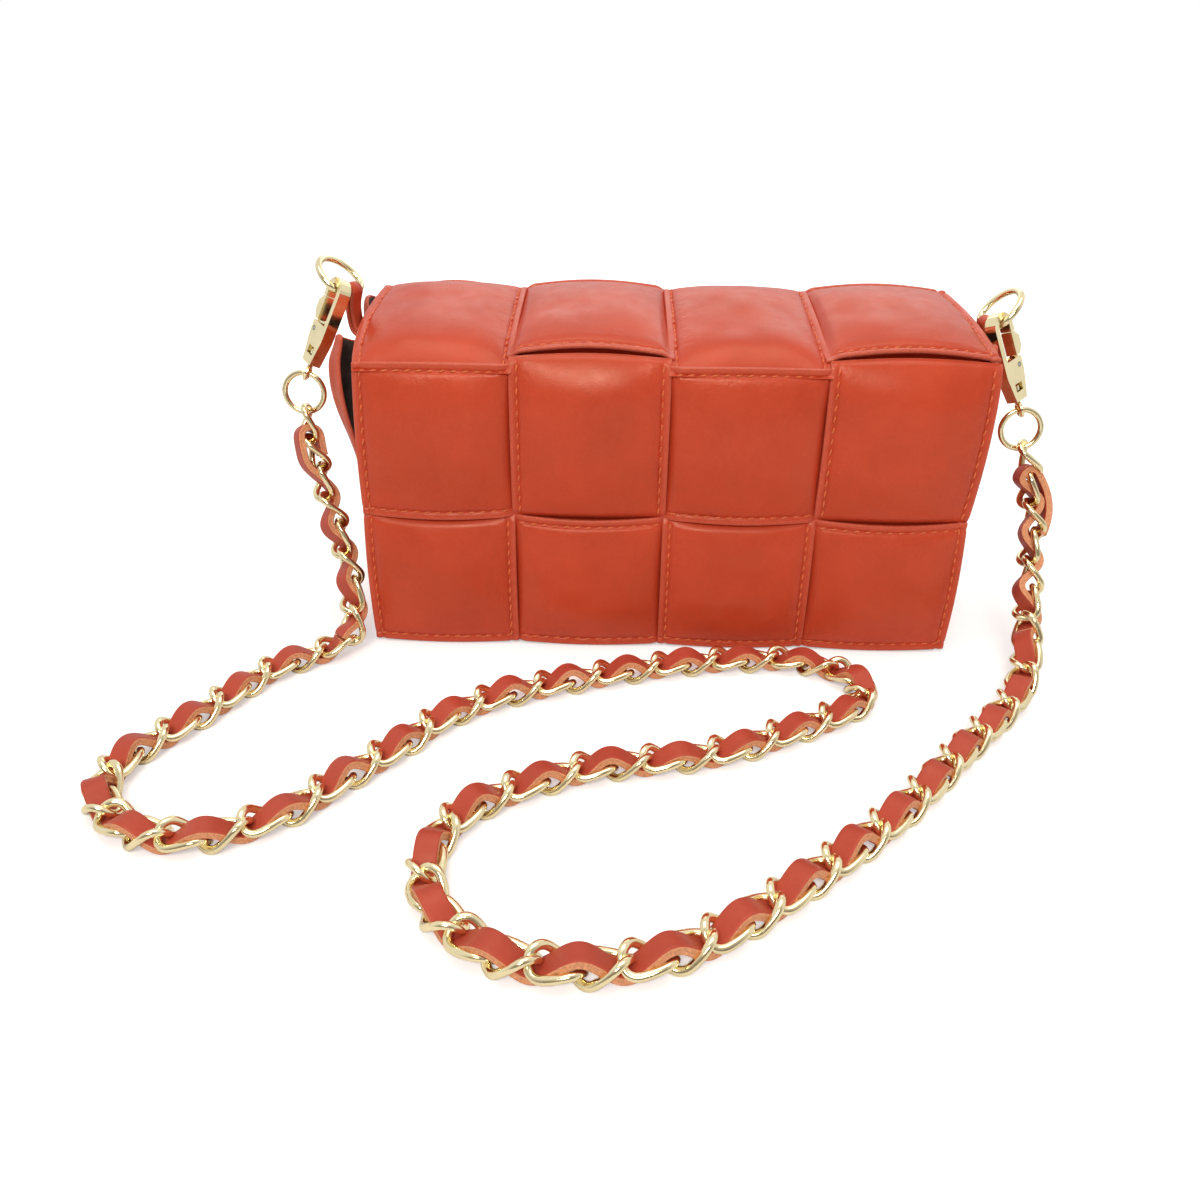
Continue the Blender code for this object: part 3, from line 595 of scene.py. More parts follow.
def thread_material():
    result, tree, shader, place = new_material("stitch_thread")
    strands = cloud(tree, place, 2600.0)
    feed(tree, shader, {"Base Color": shades(tree, strands, THREAD, 0.72, 1.15, 0.35, 0.65),
                        "Roughness": 0.55, "Sheen Weight": 0.15,
                        "Normal": bump(tree, [(strands, 0.4, 0.0002)])})
    return result


def raw_edge_material():
    """Cut edge of the lace: fibrous, paler than the face."""
    result, tree, shader, place = new_material("lace_raw_edge")
    fibre = cloud(tree, place, 1500.0, 5.0, 0.65)
    feed(tree, shader, {"Base Color": shades(tree, fibre, RAW_EDGE, 0.62, 1.18, 0.28, 0.66),
                        "Roughness": 0.75, "Normal": bump(tree, [(fibre, 0.5, 0.0003)])})
    return result


def metal(name, colour, roughness, wear):
    """Plated metal with faint polishing marks and a little tarnish."""
    result, tree, shader, place = new_material(name)
    marks = cloud(tree, place, 700.0, 3.0)
    tint = shades(tree, cloud(tree, place, 120.0, 3.0), colour, 1 - wear, 1.04)
    feed(tree, shader, {"Base Color": tint, "Metallic": 1.0,
                        "Roughness": fit(tree, marks, 0.3, 0.7, roughness - 0.04, roughness + 0.06),
                        "Normal": bump(tree, [(marks, 0.05, 0.0002)])})
    return result


def lining_material():
    """Dark woven lining."""
    result, tree, shader, place = new_material("dark_lining")
    weave_inputs = {"Vector": place, "Scale": 900.0, "Distortion": 0.4}
    weave = add(tree, "ShaderNodeTexWave", weave_inputs, wave_type="BANDS", bands_direction="DIAGONAL")["Fac"]
    mottle = cloud(tree, place, 200.0, 3.0)
    feed(tree, shader, {"Base Color": shades(tree, mottle, DARK, 0.7, 1.7), "Roughness": 0.85,
                        "Sheen Weight": 0.2,
                        "Normal": bump(tree, [(weave, 0.3, 0.0002), (mottle, 0.2, 0.0004)])})
    return result


LEATHER = leather("padded_leather", RED, LIP_WEAR_AND_SHEEN_RED, 0.34, 0.06)
TAB_LOOK = leather("tab_leather", scaled(RED, 0.95), LIP_WEAR_AND_SHEEN_RED, 0.46, 0.05)
LACE_LEATHER = leather("lace_leather", LACE_RED, LACE_RED, 0.50, 0.08)
RAW_EDGE_LOOK = raw_edge_material()
THREAD_LOOK = thread_material()
LINING = lining_material()
GOLD_LOOK = metal("gold_plate", GOLD, 0.16, 0.10)
SNAP_LOOK = metal("snap_plate", scaled(GOLD, 0.9), 0.28, 0.14)
PIN_LOOK = metal("pin_steel", STEEL, 0.28, 0.10)

# Finish of the CAD nodes that stay, by a word in their names. The others are gold.
NODE_LOOKS = {"_wall": LINING, "_lining": LINING, "board": LINING, "snap": SNAP_LOOK, "pin": PIN_LOOK,
              "pad": LEATHER, "tab": TAB_LOOK}


# Mesh helpers


def new_object(name, verts, faces, looks, indices=None, smooth=True):
    data = bpy.data.meshes.new(name)
    data.from_pydata([tuple(v) for v in verts], [], faces)
    item = bpy.data.objects.new(name, data)
    bpy.context.scene.collection.objects.link(item)
    for look in looks:
        data.materials.append(look)
    if indices:
        data.polygons.foreach_set("material_index", indices)
    if smooth:
        data.shade_smooth()
    return item


class Builder:
    """Collects parts of one piece: points, faces, material numbers, and lip and crease values."""

    def __init__(self):
        self.verts = []
        self.faces = []
        self.looks = []
        self.lips = []
        self.creases = []

    def add(self, verts, faces, look=0, lips=None, creases=None):
        start = len(self.verts)
        self.verts += verts
        self.faces += [tuple(start + i for i in face) for face in faces]
        self.looks += look if isinstance(look, list) else [look] * len(faces)
        self.lips += lips or [0.0] * len(verts)
        self.creases += creases or [0.0] * len(verts)

    def make(self, name, looks):
        item = new_object(name, self.verts, self.faces, looks, self.looks)
        for key, values in (("lip", self.lips), ("crease", self.creases)):
            item.data.attributes.new(key, "FLOAT", "POINT").data.foreach_set("value", values)
        shape = bmesh.new()
        shape.from_mesh(item.data)
        bmesh.ops.recalc_face_normals(shape, faces=shape.faces)
        shape.to_mesh(item.data)
        shape.free()
        return item


def subdivide(item):
    modifier = item.modifiers.new("smooth", "SUBSURF")
    modifier.levels = modifier.render_levels = 1
    modifier.use_limit_surface = False


def square_to(way, along):
    """Unit vector of the part of a direction that is square to another."""
    return (way - along * way.dot(along)).normalized()


def directions(points, closed=False):
    """Unit direction of a line at each of its points."""
    last = len(points) - 1
    if closed:
        return [(points[(i + 1) % (last + 1)] - points[i - 1]).normalized() for i in range(last + 1)]
    return [(points[min(i + 1, last)] - points[max(i - 1, 0)]).normalized() for i in range(last + 1)]


def curve_through(places, parts):
    """Smooth curve through places, with parts steps between each and the next."""
    nodes = [2 * places[0] - places[1], *places, 2 * places[-1] - places[-2]]
    dense = []
    for a, b, c, d in zip(nodes, nodes[1:], nodes[2:], nodes[3:]):
        for i in range(parts):
            t = i / parts
            dense.append(0.5 * (2 * b + (c - a) * t + (2 * a - 5 * b + 4 * c - d) * t**2
                                + (3 * b - a - 3 * c + d) * t**3))
    return dense + [nodes[-2]]


def path_length(points):
    return sum((q - p).length for p, q in zip(points, points[1:]))


def smoothed(vectors, passes):
    """Average each vector with its neighbours, with both ends kept."""
    for _ in range(passes):
        inner = [(a + 2 * b + c) / 4 for a, b, c in zip(vectors, vectors[1:], vectors[2:])]
        vectors = [vectors[0], *inner, vectors[-1]]
    return vectors


def bridge(first, second):
    """Faces between two closed loops of point numbers."""
    ahead = zip(first[1:] + first[:1], second[1:] + second[:1])
    return [(a, next_a, next_b, b) for a, b, (next_a, next_b) in zip(first, second, ahead)]


def grid_faces(columns, rows):
    """Faces of a sheet with this many points across and up."""
    starts = [j * columns + i for j in range(rows - 1) for i in range(columns - 1)]
    return [(k, k + 1, k + columns + 1, k + columns) for k in starts]


def grid_rim(columns, rows):
    """Places round a sheet's edge, as a column and a row each."""
    rim = [(i, 0) for i in range(columns - 1)] + [(columns - 1, j) for j in range(rows - 1)]
    return rim + [(i, rows - 1) for i in range(columns - 1, 0, -1)] + [(0, j) for j in range(rows - 1, 0, -1)]


def swept(points, frames, section, closed, sizes=None):
    """Skin a section of (side, up) pairs along points. Each frame is (side, up)."""
    verts = []
    for point, (side, up), size in zip(points, frames, sizes or [1.0] * len(points)):
        verts += [point + side * (x * size) + up * (y * size) for x, y in section]
    sides = len(section)
    loops = [list(range(i * sides, (i + 1) * sides)) for i in range(len(points))]
    faces = []
    for loop, ahead in zip(loops, loops[1:] + loops[:closed]):
        faces += bridge(loop, ahead)
    if not closed:
        faces += [tuple(reversed(loops[0])), tuple(loops[-1])]
    return verts, faces


def oval(radius_x, radius_y, sides):
    turns = [2 * math.pi * i / sides for i in range(sides)]
    return [(radius_x * math.cos(t), radius_y * math.sin(t)) for t in turns]


# Camera, light and floor


def make_camera():
    camera = bpy.data.objects.new("camera", bpy.data.cameras.new("camera"))
    bpy.context.scene.collection.objects.link(camera)
    camera.data.lens = CAMERA_LENS
    camera.data.sensor_width = CAMERA_SENSOR
    camera.data.sensor_fit = "HORIZONTAL"
    camera.data.clip_start = 0.01
    camera.data.clip_end = 20.0
    turn = Matrix.Rotation(math.radians(CAMERA_YAW_DEG), 3, "Z")
    turn = turn @ Matrix.Rotation(math.radians(90 - CAMERA_PITCH_DEG), 3, "X")
    turn = turn @ Matrix.Rotation(math.radians(CAMERA_ROLL_DEG), 3, "Z")
    camera.matrix_world = Matrix.Translation(CAMERA_PLACE) @ turn.to_4x4()
    bpy.context.scene.camera = camera


def area_light(name, place, target, size, power):
    lamp = bpy.data.lights.new(name, "AREA")
    lamp.shape = "RECTANGLE"
    lamp.size, lamp.size_y = size
    lamp.energy = power
    lamp.color = LAMP_COLOUR
    item = bpy.data.objects.new(name, lamp)
    bpy.context.scene.collection.objects.link(item)
    item.location = place
    item.rotation_euler = (Vector(target) - Vector(place)).to_track_quat("-Z", "Y").to_euler()


def background(tree, colour, strength):
    return add(tree, "ShaderNodeBackground", {"Color": colour, "Strength": strength})[0]


def make_light():
    """Soft white room that the camera sees as plain white, and three lamps."""
    bpy.context.scene.view_settings.view_transform = "Standard"
    world = bpy.data.worlds.new("studio")
    bpy.context.scene.world = world
    world.use_nodes = True
    tree = world.node_tree
    tree.nodes.clear()
    white = (1, 1, 1, 1)
    path = add(tree, "ShaderNodeLightPath")
    generated = add(tree, "ShaderNodeTexCoord")["Generated"]
    ahead = add(tree, "ShaderNodeSeparateXYZ", {"Vector": generated})["Y"]
    room = ramp(tree, fit(tree, ahead, -1.0, 1.0, 0.0, 1.0), ROOM_SHADE, white[:3], 0.12, 0.42)
    lights = {"Fac": path["Is Glossy Ray"], 1: background(tree, white, 0.42), 2: background(tree, room, 0.85)}
    soft = add(tree, "ShaderNodeMixShader", lights)[0]
    rays = {0: path["Is Camera Ray"], 1: path["Is Transmission Ray"]}
    seen = add(tree, "ShaderNodeMath", rays, operation="MAXIMUM")[0]
    all_rays = add(tree, "ShaderNodeMixShader", {"Fac": seen, 1: soft, 2: background(tree, white, 1.0)})[0]
    add(tree, "ShaderNodeOutputWorld", {"Surface": all_rays})
    for name, (place, target, size, power) in LAMPS.items():
        area_light(name, place, target, size, power)


def make_floor():
    """White floor that shows only a pale shadow to the camera."""
    verts = [(x * FLOOR_HALF, y * FLOOR_HALF, 0) for x, y in ((-1, -1), (1, -1), (1, 1), (-1, 1))]
    look, tree, shader, place = new_material("floor_white")
    away = add(tree, "ShaderNodeVectorMath", {0: place}, operation="LENGTH")["Value"]
    rays = {0: add(tree, "ShaderNodeLightPath")["Is Camera Ray"], 1: fit(tree, away, 0.25, 0.70, 0.42, 1.0)}
    lift = add(tree, "ShaderNodeMath", rays, operation="MULTIPLY")[0]
    feed(tree, shader, {"Base Color": (0.86, 0.86, 0.86, 1), "Roughness": 0.9, "Specular IOR Level": 0.0,
                        "Emission Color": (1, 1, 1, 1), "Emission Strength": lift})
    floor = new_object("floor", verts, [(0, 1, 2, 3)], [look], smooth=False)
    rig.stage(floor)


# Strap


class Line:
    """Smooth route with its length, and an up direction that turns as little as it can."""

    def __init__(self, places):
        dense = curve_through([Vector(p) for p in places], ROUTE_PARTS)
        self.length = path_length(dense)
        count = round(self.length / ROUTE_STEP)
        self.step = self.length / count
        self.points = self.resample(dense, count)
        self.ways = directions(self.points)
        self.ups = self.transport()
        self.turn_ends()

    def resample(self, dense, count):
        points = [dense[0]]
        travelled = 0.0
        for p, q in zip(dense, dense[1:]):
            gap = (q - p).length
            while len(points) < count and travelled + gap >= self.step * len(points):
                points.append(p.lerp(q, (self.step * len(points) - travelled) / gap))
            travelled += gap
        return points + [dense[-1]]

    def transport(self):
        """Carry +Z from the middle of the floor run to both ends."""
        upright = Vector((0, 0, 1))
        middle = len(self.points) // 2
        ups = [upright] * len(self.points)
        for order in (range(middle + 1, len(self.points)), range(middle - 1, -1, -1)):
            up = upright
            before = self.ways[middle]
            for i in order:
                along = self.ways[i]
                up = square_to(before.rotation_difference(along) @ up, along)
                if self.points[i].z < 2 * LINE_HEIGHT:
                    up = up.lerp(square_to(upright, along), FLOOR_PULL).normalized()
                ups[i] = up
                before = along
        return ups

    def turn_ends(self):
        """Turn the strap about its own line towards each end, as it hangs from the hooks."""
        fade = TURN_REACH - TURN_HOLD
        for i, up in enumerate(self.ups):
            travel = i * self.step
            turn = LEFT_TURN_DEG * (1 - smoothstep((travel - TURN_HOLD) / fade))
            turn += RIGHT_TURN_DEG * (1 - smoothstep((self.length - travel - TURN_HOLD) / fade))
            self.ups[i] = Matrix.Rotation(math.radians(turn), 3, self.ways[i]) @ up

    def at(self, travel):
        """Place, direction along and direction up at a distance from the start."""
        x = clamp(travel / self.step, 0.0, len(self.points) - 1.0001)
        i = int(x)
        place = self.points[i].lerp(self.points[i + 1], x - i)
        along = self.ways[i].lerp(self.ways[i + 1], x - i).normalized()
        return place, along, square_to(self.ups[i].lerp(self.ups[i + 1], x - i), along)


def ring_line_end(side, target):
    """Where the strap's line meets the round ring, and where the first link grips it."""
    centre = Vector(O_RING_CENTRES[side])
    way = (Vector(target) - centre).normalized()
    return centre + way * RING_RIM, centre + way * RING_GRIP


def strap_line():
    left_rim, left_grip = ring_line_end("left", LEFT_RISER[0])
    right_rim, right_grip = ring_line_end("right", RIGHT_RISER[-1])
    ground = [(x, y, LINE_HEIGHT) for x, y in FLOOR_RUN]
    return Line([left_grip, left_rim, *LEFT_RISER, FLOOR_START, *ground, FLOOR_END, *RIGHT_RISER,
                 right_rim, right_grip])


def joint_height(index):
    """How far a junction of two links lies off the line: odd ones ride over the lace."""
    if index in (0, LINKS):
        return 0.0
    return HIGH_JOINT if index % 2 else LOW_JOINT


def link_shape(start, end, up):
    """One twisted link between two junctions."""
    along = (end - start).normalized()
    up = square_to(up, along)
    side = along.cross(up)
    reach = (end - start).length / 2 + LINK_OVERLAP
    flat = reach - LINK_HALF_WIDTH
    outline = []
    for sign in (1, -1):
        for angle in spread(-math.pi / 2, math.pi / 2, LINK_ARC_STEPS):
            outline.append((sign * (flat + LINK_HALF_WIDTH * math.cos(angle)),
                            sign * LINK_HALF_WIDTH * math.sin(angle)))
        outline += [(sign * flat * share, sign * LINK_HALF_WIDTH) for share in (0.5, 0.0, -0.5)]
    points = []
    normals = []
    for x, y in outline:
        twist = math.radians(LINK_TWIST_DEG) * x / reach
        across = side * math.cos(twist) + up * math.sin(twist)
        points.append((start + end) / 2 + along * x + across * y)
        normals.append(up * math.cos(twist) - side * math.sin(twist))
    frames = []
    for way, normal in zip(directions(points, closed=True), normals):
        normal = square_to(normal, way)
        frames.append((way.cross(normal), normal))
    return swept(points, frames, oval(LINK_WIRE * LINK_FLATNESS, LINK_WIRE, LINK_SIDES), True)


def lace_offset(x, arches):
    """Height of the lace off the line, x links from the start: low at odd junctions, high at even ones."""
    if x < FIRST_ARCH_END:
        fall = smoothstep((x - FIRST_ARCH_FALL) / (FIRST_ARCH_END - FIRST_ARCH_FALL))
        return FIRST_ARCH + (LACE_LOW - FIRST_ARCH) * fall
    wave = 0.5 + 0.5 * math.cos(math.pi * x)
    slack = arches[int((x + 1) / 2) % len(arches)]
    return LACE_LOW + (LACE_HIGH + slack - LACE_LOW) * wave


def lace_section():
    """Two plies with rounded corners, and the numbers of the faces on the cut edges."""
    half = LACE_WIDTH / 2
    thick = LACE_THICKNESS / 2
    corner = [(x * half, y * thick) for x, y in LACE_CORNER_SHARES]
    right = corner + [(x, -y) for x, y in reversed(corner[:-1])]
    top = [(x * half, thick) for x in LACE_FACE_SHARES]
    section = right + [(-x, -y) for x, y in top + right] + top
    edge = range(1, len(right) - 2)
    return section, {*edge, *(len(right) + len(top) + i for i in edge)}


def lace_mesh(name, samples):
    """Lace through samples of (place, side)."""
    section, edge_faces = lace_section()
    points = [place for place, side in samples]
    frames = []
    for along, (place, side) in zip(directions(points), samples):
        across = square_to(side, along)
        frames.append((across, across.cross(along)))
    verts, faces = swept(points, frames, section, False)
    looks = [int(i % len(section) in edge_faces) for i in range(len(faces) - 2)]
    shape = Builder()
    shape.add(verts, faces, looks + [1, 1])
    return shape.make(name, [LACE_LEATHER, RAW_EDGE_LOOK]), points


def lace_samples(line, pitch):
    """The whole lace from its folded left end to its folded right end, as (place, side) pairs."""
    rng = random.Random(11)
    arches = [LACE_SLACK * rng.random() for _ in range(LINKS)]
    rolls = [math.radians(rng.uniform(-LACE_ROLL_DEG, LACE_ROLL_DEG)) for _ in range(LINKS + 2)]
    samples = []

    def sample(travel, offset, angle=0.0):
        place, along, up = line.at(travel)
        turn = Matrix.Rotation(angle, 3, along)
        samples.append((place + (turn @ up) * offset, turn @ along.cross(up)))

    near = pitch - LACE_SETBACK
    half = 0.5 * (FIRST_ARCH - LACE_LOW)
    centre = 0.5 * (FIRST_ARCH + LACE_LOW)
    for share in spread(1.0, 0.0, int(LEFT_TAIL / LACE_STEP))[:-1]:
        sample(near + LEFT_TAIL * share, centre - half)
    for angle in spread(0.0, math.pi, FOLD_STEPS):
        sample(near - FOLD_DEPTH_SHARE * half * math.sin(angle), centre - half * math.cos(angle))
    end = (LINKS - 1) * pitch
    travel = near + LACE_STEP
    while travel < end:
        x = travel / pitch
        k = int(x / 2 + 0.5)
        blend = smoothstep(x / 2 + 0.5 - k)
        fade = min(1.0, max(0.0, x - 2), max(0.0, LINKS - 2 - x))
        fade *= 1 - LACE_HOLD_SHARE + LACE_HOLD_SHARE * math.cos(math.pi * x)
        sample(travel, lace_offset(x, arches), (rolls[k] * (1 - blend) + rolls[k + 1] * blend) * fade)
        travel += LACE_STEP
    half = 0.5 * (LACE_HIGH - LACE_LOW)
    centre = 0.5 * (LACE_HIGH + LACE_LOW)
    for angle in spread(0.0, math.pi, FOLD_STEPS):
        sample(end + FOLD_DEPTH_SHARE * half * math.sin(angle), centre + half * math.cos(angle))
    for share in spread(0.0, 1.0, int(RIGHT_TAIL / LACE_STEP))[1:-1]:
        sample(end - RIGHT_TAIL * share, centre - half - RIGHT_TAIL_BULGE * math.sin(math.pi * share))
    places, sides = zip(*samples)
    return list(zip(smoothed(places, PLACE_SMOOTHING), smoothed(sides, SIDE_SMOOTHING)))


def nearest(samples, spot):
    """Number of the sample whose place is nearest a spot on the strap."""
    return min(range(len(samples)), key=lambda i: (samples[i][0] - spot).length)


def make_strap():
    line = strap_line()
    pitch = line.length / LINKS
    joints = []
    for k in range(LINKS + 1):
        place, along, up = line.at(k * pitch)
        joints.append(place + up * joint_height(k))
    middles = [line.at((k + 0.5) * pitch) for k in range(LINKS)]
    samples = lace_samples(line, pitch)
    left_cut = Vector(FLOOR_START)
    right_cut = Vector(RIGHT_RISER[0])
    lace_cuts = [0, nearest(samples, left_cut) + 1, nearest(samples, right_cut) + 1, len(samples)]
    link_cuts = [0, nearest(middles, left_cut), nearest(middles, right_cut), LINKS]
    for index, (word, node) in enumerate(STRAP_NODES.items()):
        lace, path = lace_mesh(f"strap_lace_{word}", samples[lace_cuts[index]:lace_cuts[index + 1]])
        chain = Builder()
        for k in range(link_cuts[index], link_cuts[index + 1]):
            chain.add(*link_shape(joints[k], joints[k + 1], middles[k][2]))
        links = chain.make(f"chain_{word}", [GOLD_LOOK])
        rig.slot(lace, "strap_lace")
        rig.slot(links, "gold_metal")
        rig.replaces(lace, node)
        ends = {"left": path[len(path) // 12], "ground": path[0], "right": path[-1]}
        along = path if word != "right" else list(reversed(path))
        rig.cord(lace, exit=ends[word], length=path_length(path), diameter=LACE_WIDTH, far_end="object",
                stiffness="limp", lay="loose", path=along, with_pieces=[links])
        if word == "ground":
            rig.ride(lace, "root")
            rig.ride(links, "root")
            continue
        foot, top = (left_cut, joints[0]) if word == "left" else (right_cut, joints[-1])
        low, high = (foot + (top - foot) * share for share in RISER_BEND_SHARES)
        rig.blend(lace, "root", f"{word}_clasp", start=low, end=high)
        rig.blend(links, "root", f"{word}_clasp", start=low, end=high)


# Padded squares

TOP_SLOPE = math.atan2(BACK_HEIGHT - FRONT_HEIGHT, BAG_DEPTH)
HALF_WIDTH = BAG_WIDTH / 2
FRONT_FACE = -BAG_DEPTH / 2
BACK_FACE = BAG_DEPTH / 2


def top_height(y, depth=0.0):
    rise = (y - FRONT_FACE) * math.tan(TOP_SLOPE)
    return FRONT_HEIGHT + rise - depth / math.cos(TOP_SLOPE)


# One side of a square. A lip is a free stitched edge, a tuck dives under the next square and a roll
# turns over a corner. Bulge lifts the side's middle off the bag, and bow moves it outwards in the
# square's plane. Reach is how far the side stands past the square's outline.
Side = namedtuple("Side", "kind bulge bow reach")


def lip(word):
    return Side("lip", *LIPS[word], LIP_OVERHANG)


def tuck(bow=0.0, reach=TUCK_REACH):
    return Side("tuck", 0.0, bow, reach)


def roll(bow, reach):
    return Side("roll", 0.0, bow, reach)


def swell(distance):
    return 1 - (1 - clamp(distance / SWELL_REACH)) ** SWELL_POWER


class Square:
    """Padded leather square over a flat base, with its corners anticlockwise from outside."""

    def __init__(self, corners, sides, crown, seed, level=PAD_EDGE, flat_at=None):
        self.a, self.b, self.c, self.d = (Vector(p) for p in corners)
        self.sides = sides
        self.crown = crown
        self.seed = seed
        self.level = level
        self.flat_at = flat_at
        self.width = ((self.b - self.a).length + (self.c - self.d).length) / 2
        self.height = ((self.d - self.a).length + (self.c - self.b).length) / 2
        self.normal = (self.b - self.a).cross(self.d - self.a).normalized()
        right = (self.b - self.a).normalized()
        up = self.normal.cross(right)
        # Direction out of the square across its left, right, bottom and top sides
        self.outs = (self.normal.cross((self.d - self.a).normalized()), right, -up, up)

    def measure(self, u, v):
        """Each side with the distance from it and the place along it."""
        x = u * self.width
        y = v * self.height
        return zip(self.sides, (x, self.width - x, y, self.height - y), (v, v, u, u))

    def rise(self, u, v):
        """Height of the leather above the base."""
        fill = 1.0
        lift = 0.0
        for side, distance, along in self.measure(u, v):
            if side.kind == "lip":
                fill *= swell(distance - STITCH_INSET)
                lift += side.bulge * arch(along) * bell(distance, LIP_BULGE_REACH)
                pucker = 1 + PUCKER_SHARE * math.sin(2 * math.pi * along * self.width / STITCH_PITCH)
                lift -= GROOVE_DEPTH * pucker * bell(distance - STITCH_INSET, GROOVE_WIDTH)
            else:
                fill *= swell(distance + HELD_SIDE_SWELL)
        result = self.level + self.crown * fill + lift
        for scale, shift, depth in DENTS:
            result += noise.noise(Vector((u * scale, v * scale, self.seed + shift))) * depth * fill
        for side, distance, along in self.measure(u, v):
            if side.kind == "tuck":
                result += (TUCK_LEVEL - result) * (1 - clamp(distance / TUCK_SLOPE)) ** 2
            elif side.kind == "roll":
                turn = 1 - clamp(distance / ROLL_RADIUS)
                result = ROLL_LEVEL + (result - ROLL_LEVEL) * math.sqrt(1 - turn * turn)
        return result

    def grounded(self, point):
        """The same point, raised to what the square rests on."""
        if self.flat_at is not None:
            point.z = max(point.z, self.flat_at)
        return point

    def place(self, u, v):
        """Point on the leather."""
        base = self.a.lerp(self.b, u).lerp(self.d.lerp(self.c, u), v)
        for out, (side, distance, along) in zip(self.outs, self.measure(u, v)):
            if side.bow:
                base = base + out * side.bow * arch(along) * bell(distance, LIP_BOW_REACH)
        return self.grounded(base + self.normal * self.rise(u, v))

    def frame(self, u, v, step=0.002):
        """Point on the leather with its directions across, up and out."""
        right = self.place(min(u + step, 1), v) - self.place(max(u - step, 0), v)
        up = self.place(u, min(v + step, 1)) - self.place(u, max(v - step, 0))
        return self.place(u, v), right.normalized(), up.normalized(), right.cross(up).normalized()


def grid_shares(length):
    """Places of a square's grid lines along one of its sides, as shares."""
    near = [d / length for d in NEAR_SIDE]
    return near[:-1] + spread(near[-1], 1 - near[-1], MIDDLE_STEPS) + [1 - x for x in reversed(near[:-1])]


def square_mesh(shape, square):
    """Leather of one square as one closed body."""
    us = grid_shares(square.width)
    vs = grid_shares(square.height)
    columns = len(us)
    rows = len(vs)
    verts = [square.place(u, v) for v in vs for u in us]
    near_lips = []
    for v in vs:
        for u in us:
            free = [distance for side, distance, along in square.measure(u, v) if side.kind == "lip"]
            near_lips.append(min(free, default=1.0))
    # Paler lip colour fading in towards the free edges: edge wear and a painted highlight
    lips = [LIP_WEAR_AND_SHEEN_SHARE * bell(near, LIP_WEAR_AND_SHEEN_REACH) for near in near_lips]
    creases = [bell(near - CREASE_PLACE, CREASE_REACH) for near in near_lips]
    faces = grid_faces(columns, rows)
    rim = grid_rim(columns, rows)
    before = [j * columns + i for i, j in rim]
    for overhang, depth in LIP_RINGS:
        current = []
        for i, j in rim:
            level = square.rise(us[i], vs[j])
            spare = max(level - LIP_ROOM, LEAST_LIP)
            thick = min(LIP_THICKNESS, spare * LIP_FILL_SHARE)
            hits = (i == 0, i == columns - 1, j == 0, j == rows - 1)
            touching = [(side, out) for side, out, hit in zip(square.sides, square.outs, hits) if hit]
            shift = Vector((0, 0, 0))
            for side, out in touching:
                free = side.kind == "lip"
                if overhang is None:
                    shift -= out * (LIP_DEPTH if free else GAP)
                else:
                    shift += out * (side.reach * (overhang if free else 0.6 + 0.4 * overhang))
            drop = level - SEAT if depth is None else min(thick * depth, spare)
            current.append(len(verts))
            verts.append(square.grounded(verts[j * columns + i] + shift - square.normal * drop))
            # The lip rings take the full paler colour: edge wear and a painted highlight on the rounded edge
            stitched = any(side.kind == "lip" for side, out in touching)
            lips.append(float(overhang is not None and stitched))
        faces += bridge(current, before)
        before = current
    faces += base_faces(before, columns, rows)
    shape.add(verts, faces, 0, lips, creases + [0.0] * (len(verts) - len(creases)))


def base_faces(rim, columns, rows):
    """Bands across the underside of a square, one for each row of its grid, so that it can bend."""
    top = columns + rows - 2
    left = [rim[0]] + rim[:top + columns - 2:-1]
    right = rim[columns - 1:top + 1]
    faces = [(*rim[:columns], right[1], left[1])]
    faces += [(left[j], right[j], right[j + 1], left[j + 1]) for j in range(1, rows - 2)]
    faces.append((left[-2], right[-2], *rim[top:top + columns]))
    return faces


def stitch(shape, centre, along, out, across):
    """One short length of thread, sunk at both ends."""
    spots = spread(-1.0, 1.0, 6)
    points = [centre + along * (STITCH_LENGTH / 2 * t) - out * (STITCH_SINK * t * t) for t in spots]
    sizes = [STITCH_RADIUS * max(0.12, math.sqrt(1 - t**4)) for t in spots]
    shape.add(*swept(points, [(across, out)] * len(points), oval(1, 1, 6), False, sizes), 1)


def stitch_side(shape, square, index):
    """Row of stitches along one lip."""
    upright = index < 2
    length, cross = (square.height, square.width) if upright else (square.width, square.height)
    inset = STITCH_INSET / cross
    across_share = inset if index in (0, 2) else 1 - inset
    first, last = STITCH_START, length - STITCH_START
    rng = random.Random(square.seed * 7 + index)
    for spot in spread(first, last, round((last - first) / STITCH_PITCH)):
        u, v = (across_share, spot / length) if upright else (spot / length, across_share)
        point, right, up, out = square.frame(u, v)
        along, across = (up, right) if upright else (right, up)
        slant = STITCH_SLANT_DEG + rng.uniform(-STITCH_SLANT_SPREAD_DEG, STITCH_SLANT_SPREAD_DEG)
        turn = Matrix.Rotation(math.radians(-slant if upright else slant), 3, out)
        stitch(shape, point + out * (STITCH_RADIUS * 0.55), turn @ along, out, turn @ across)


def padded_square(name, node, square, body=None, blend=None):
    shape = Builder()
    square_mesh(shape, square)
    for index, side in enumerate(square.sides):
        if side.kind == "lip":
            stitch_side(shape, square, index)
    item = shape.make(name, [LEATHER, THREAD_LOOK])
    subdivide(item)
    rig.slot(item, "red_leather")
    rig.padded(item, fill=0.8)
    if blend:
        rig.blend(item, blend[0], blend[1], start=blend[2], end=blend[3])
    else:
        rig.ride(item, body)
    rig.replaces(item, node)


def column_edges(index):
    width = BAG_WIDTH / COLUMNS
    left = -HALF_WIDTH + index * width
    return left, left + width


def is_flat_strip(row, index):
    """True where the strip that lies on top runs across the bag. Row 0 is the flap's top."""
    return (row + index) % 2 == 1


def fold_edges(index):
    """Left and right of a column at the fold, where the flap's corners have shifted with use."""
    left, right = column_edges(index)
    if index == 0:
        left += LEFT_TAPER
    if index == COLUMNS - 1:
        right += RIGHT_SPREAD
    return left, right


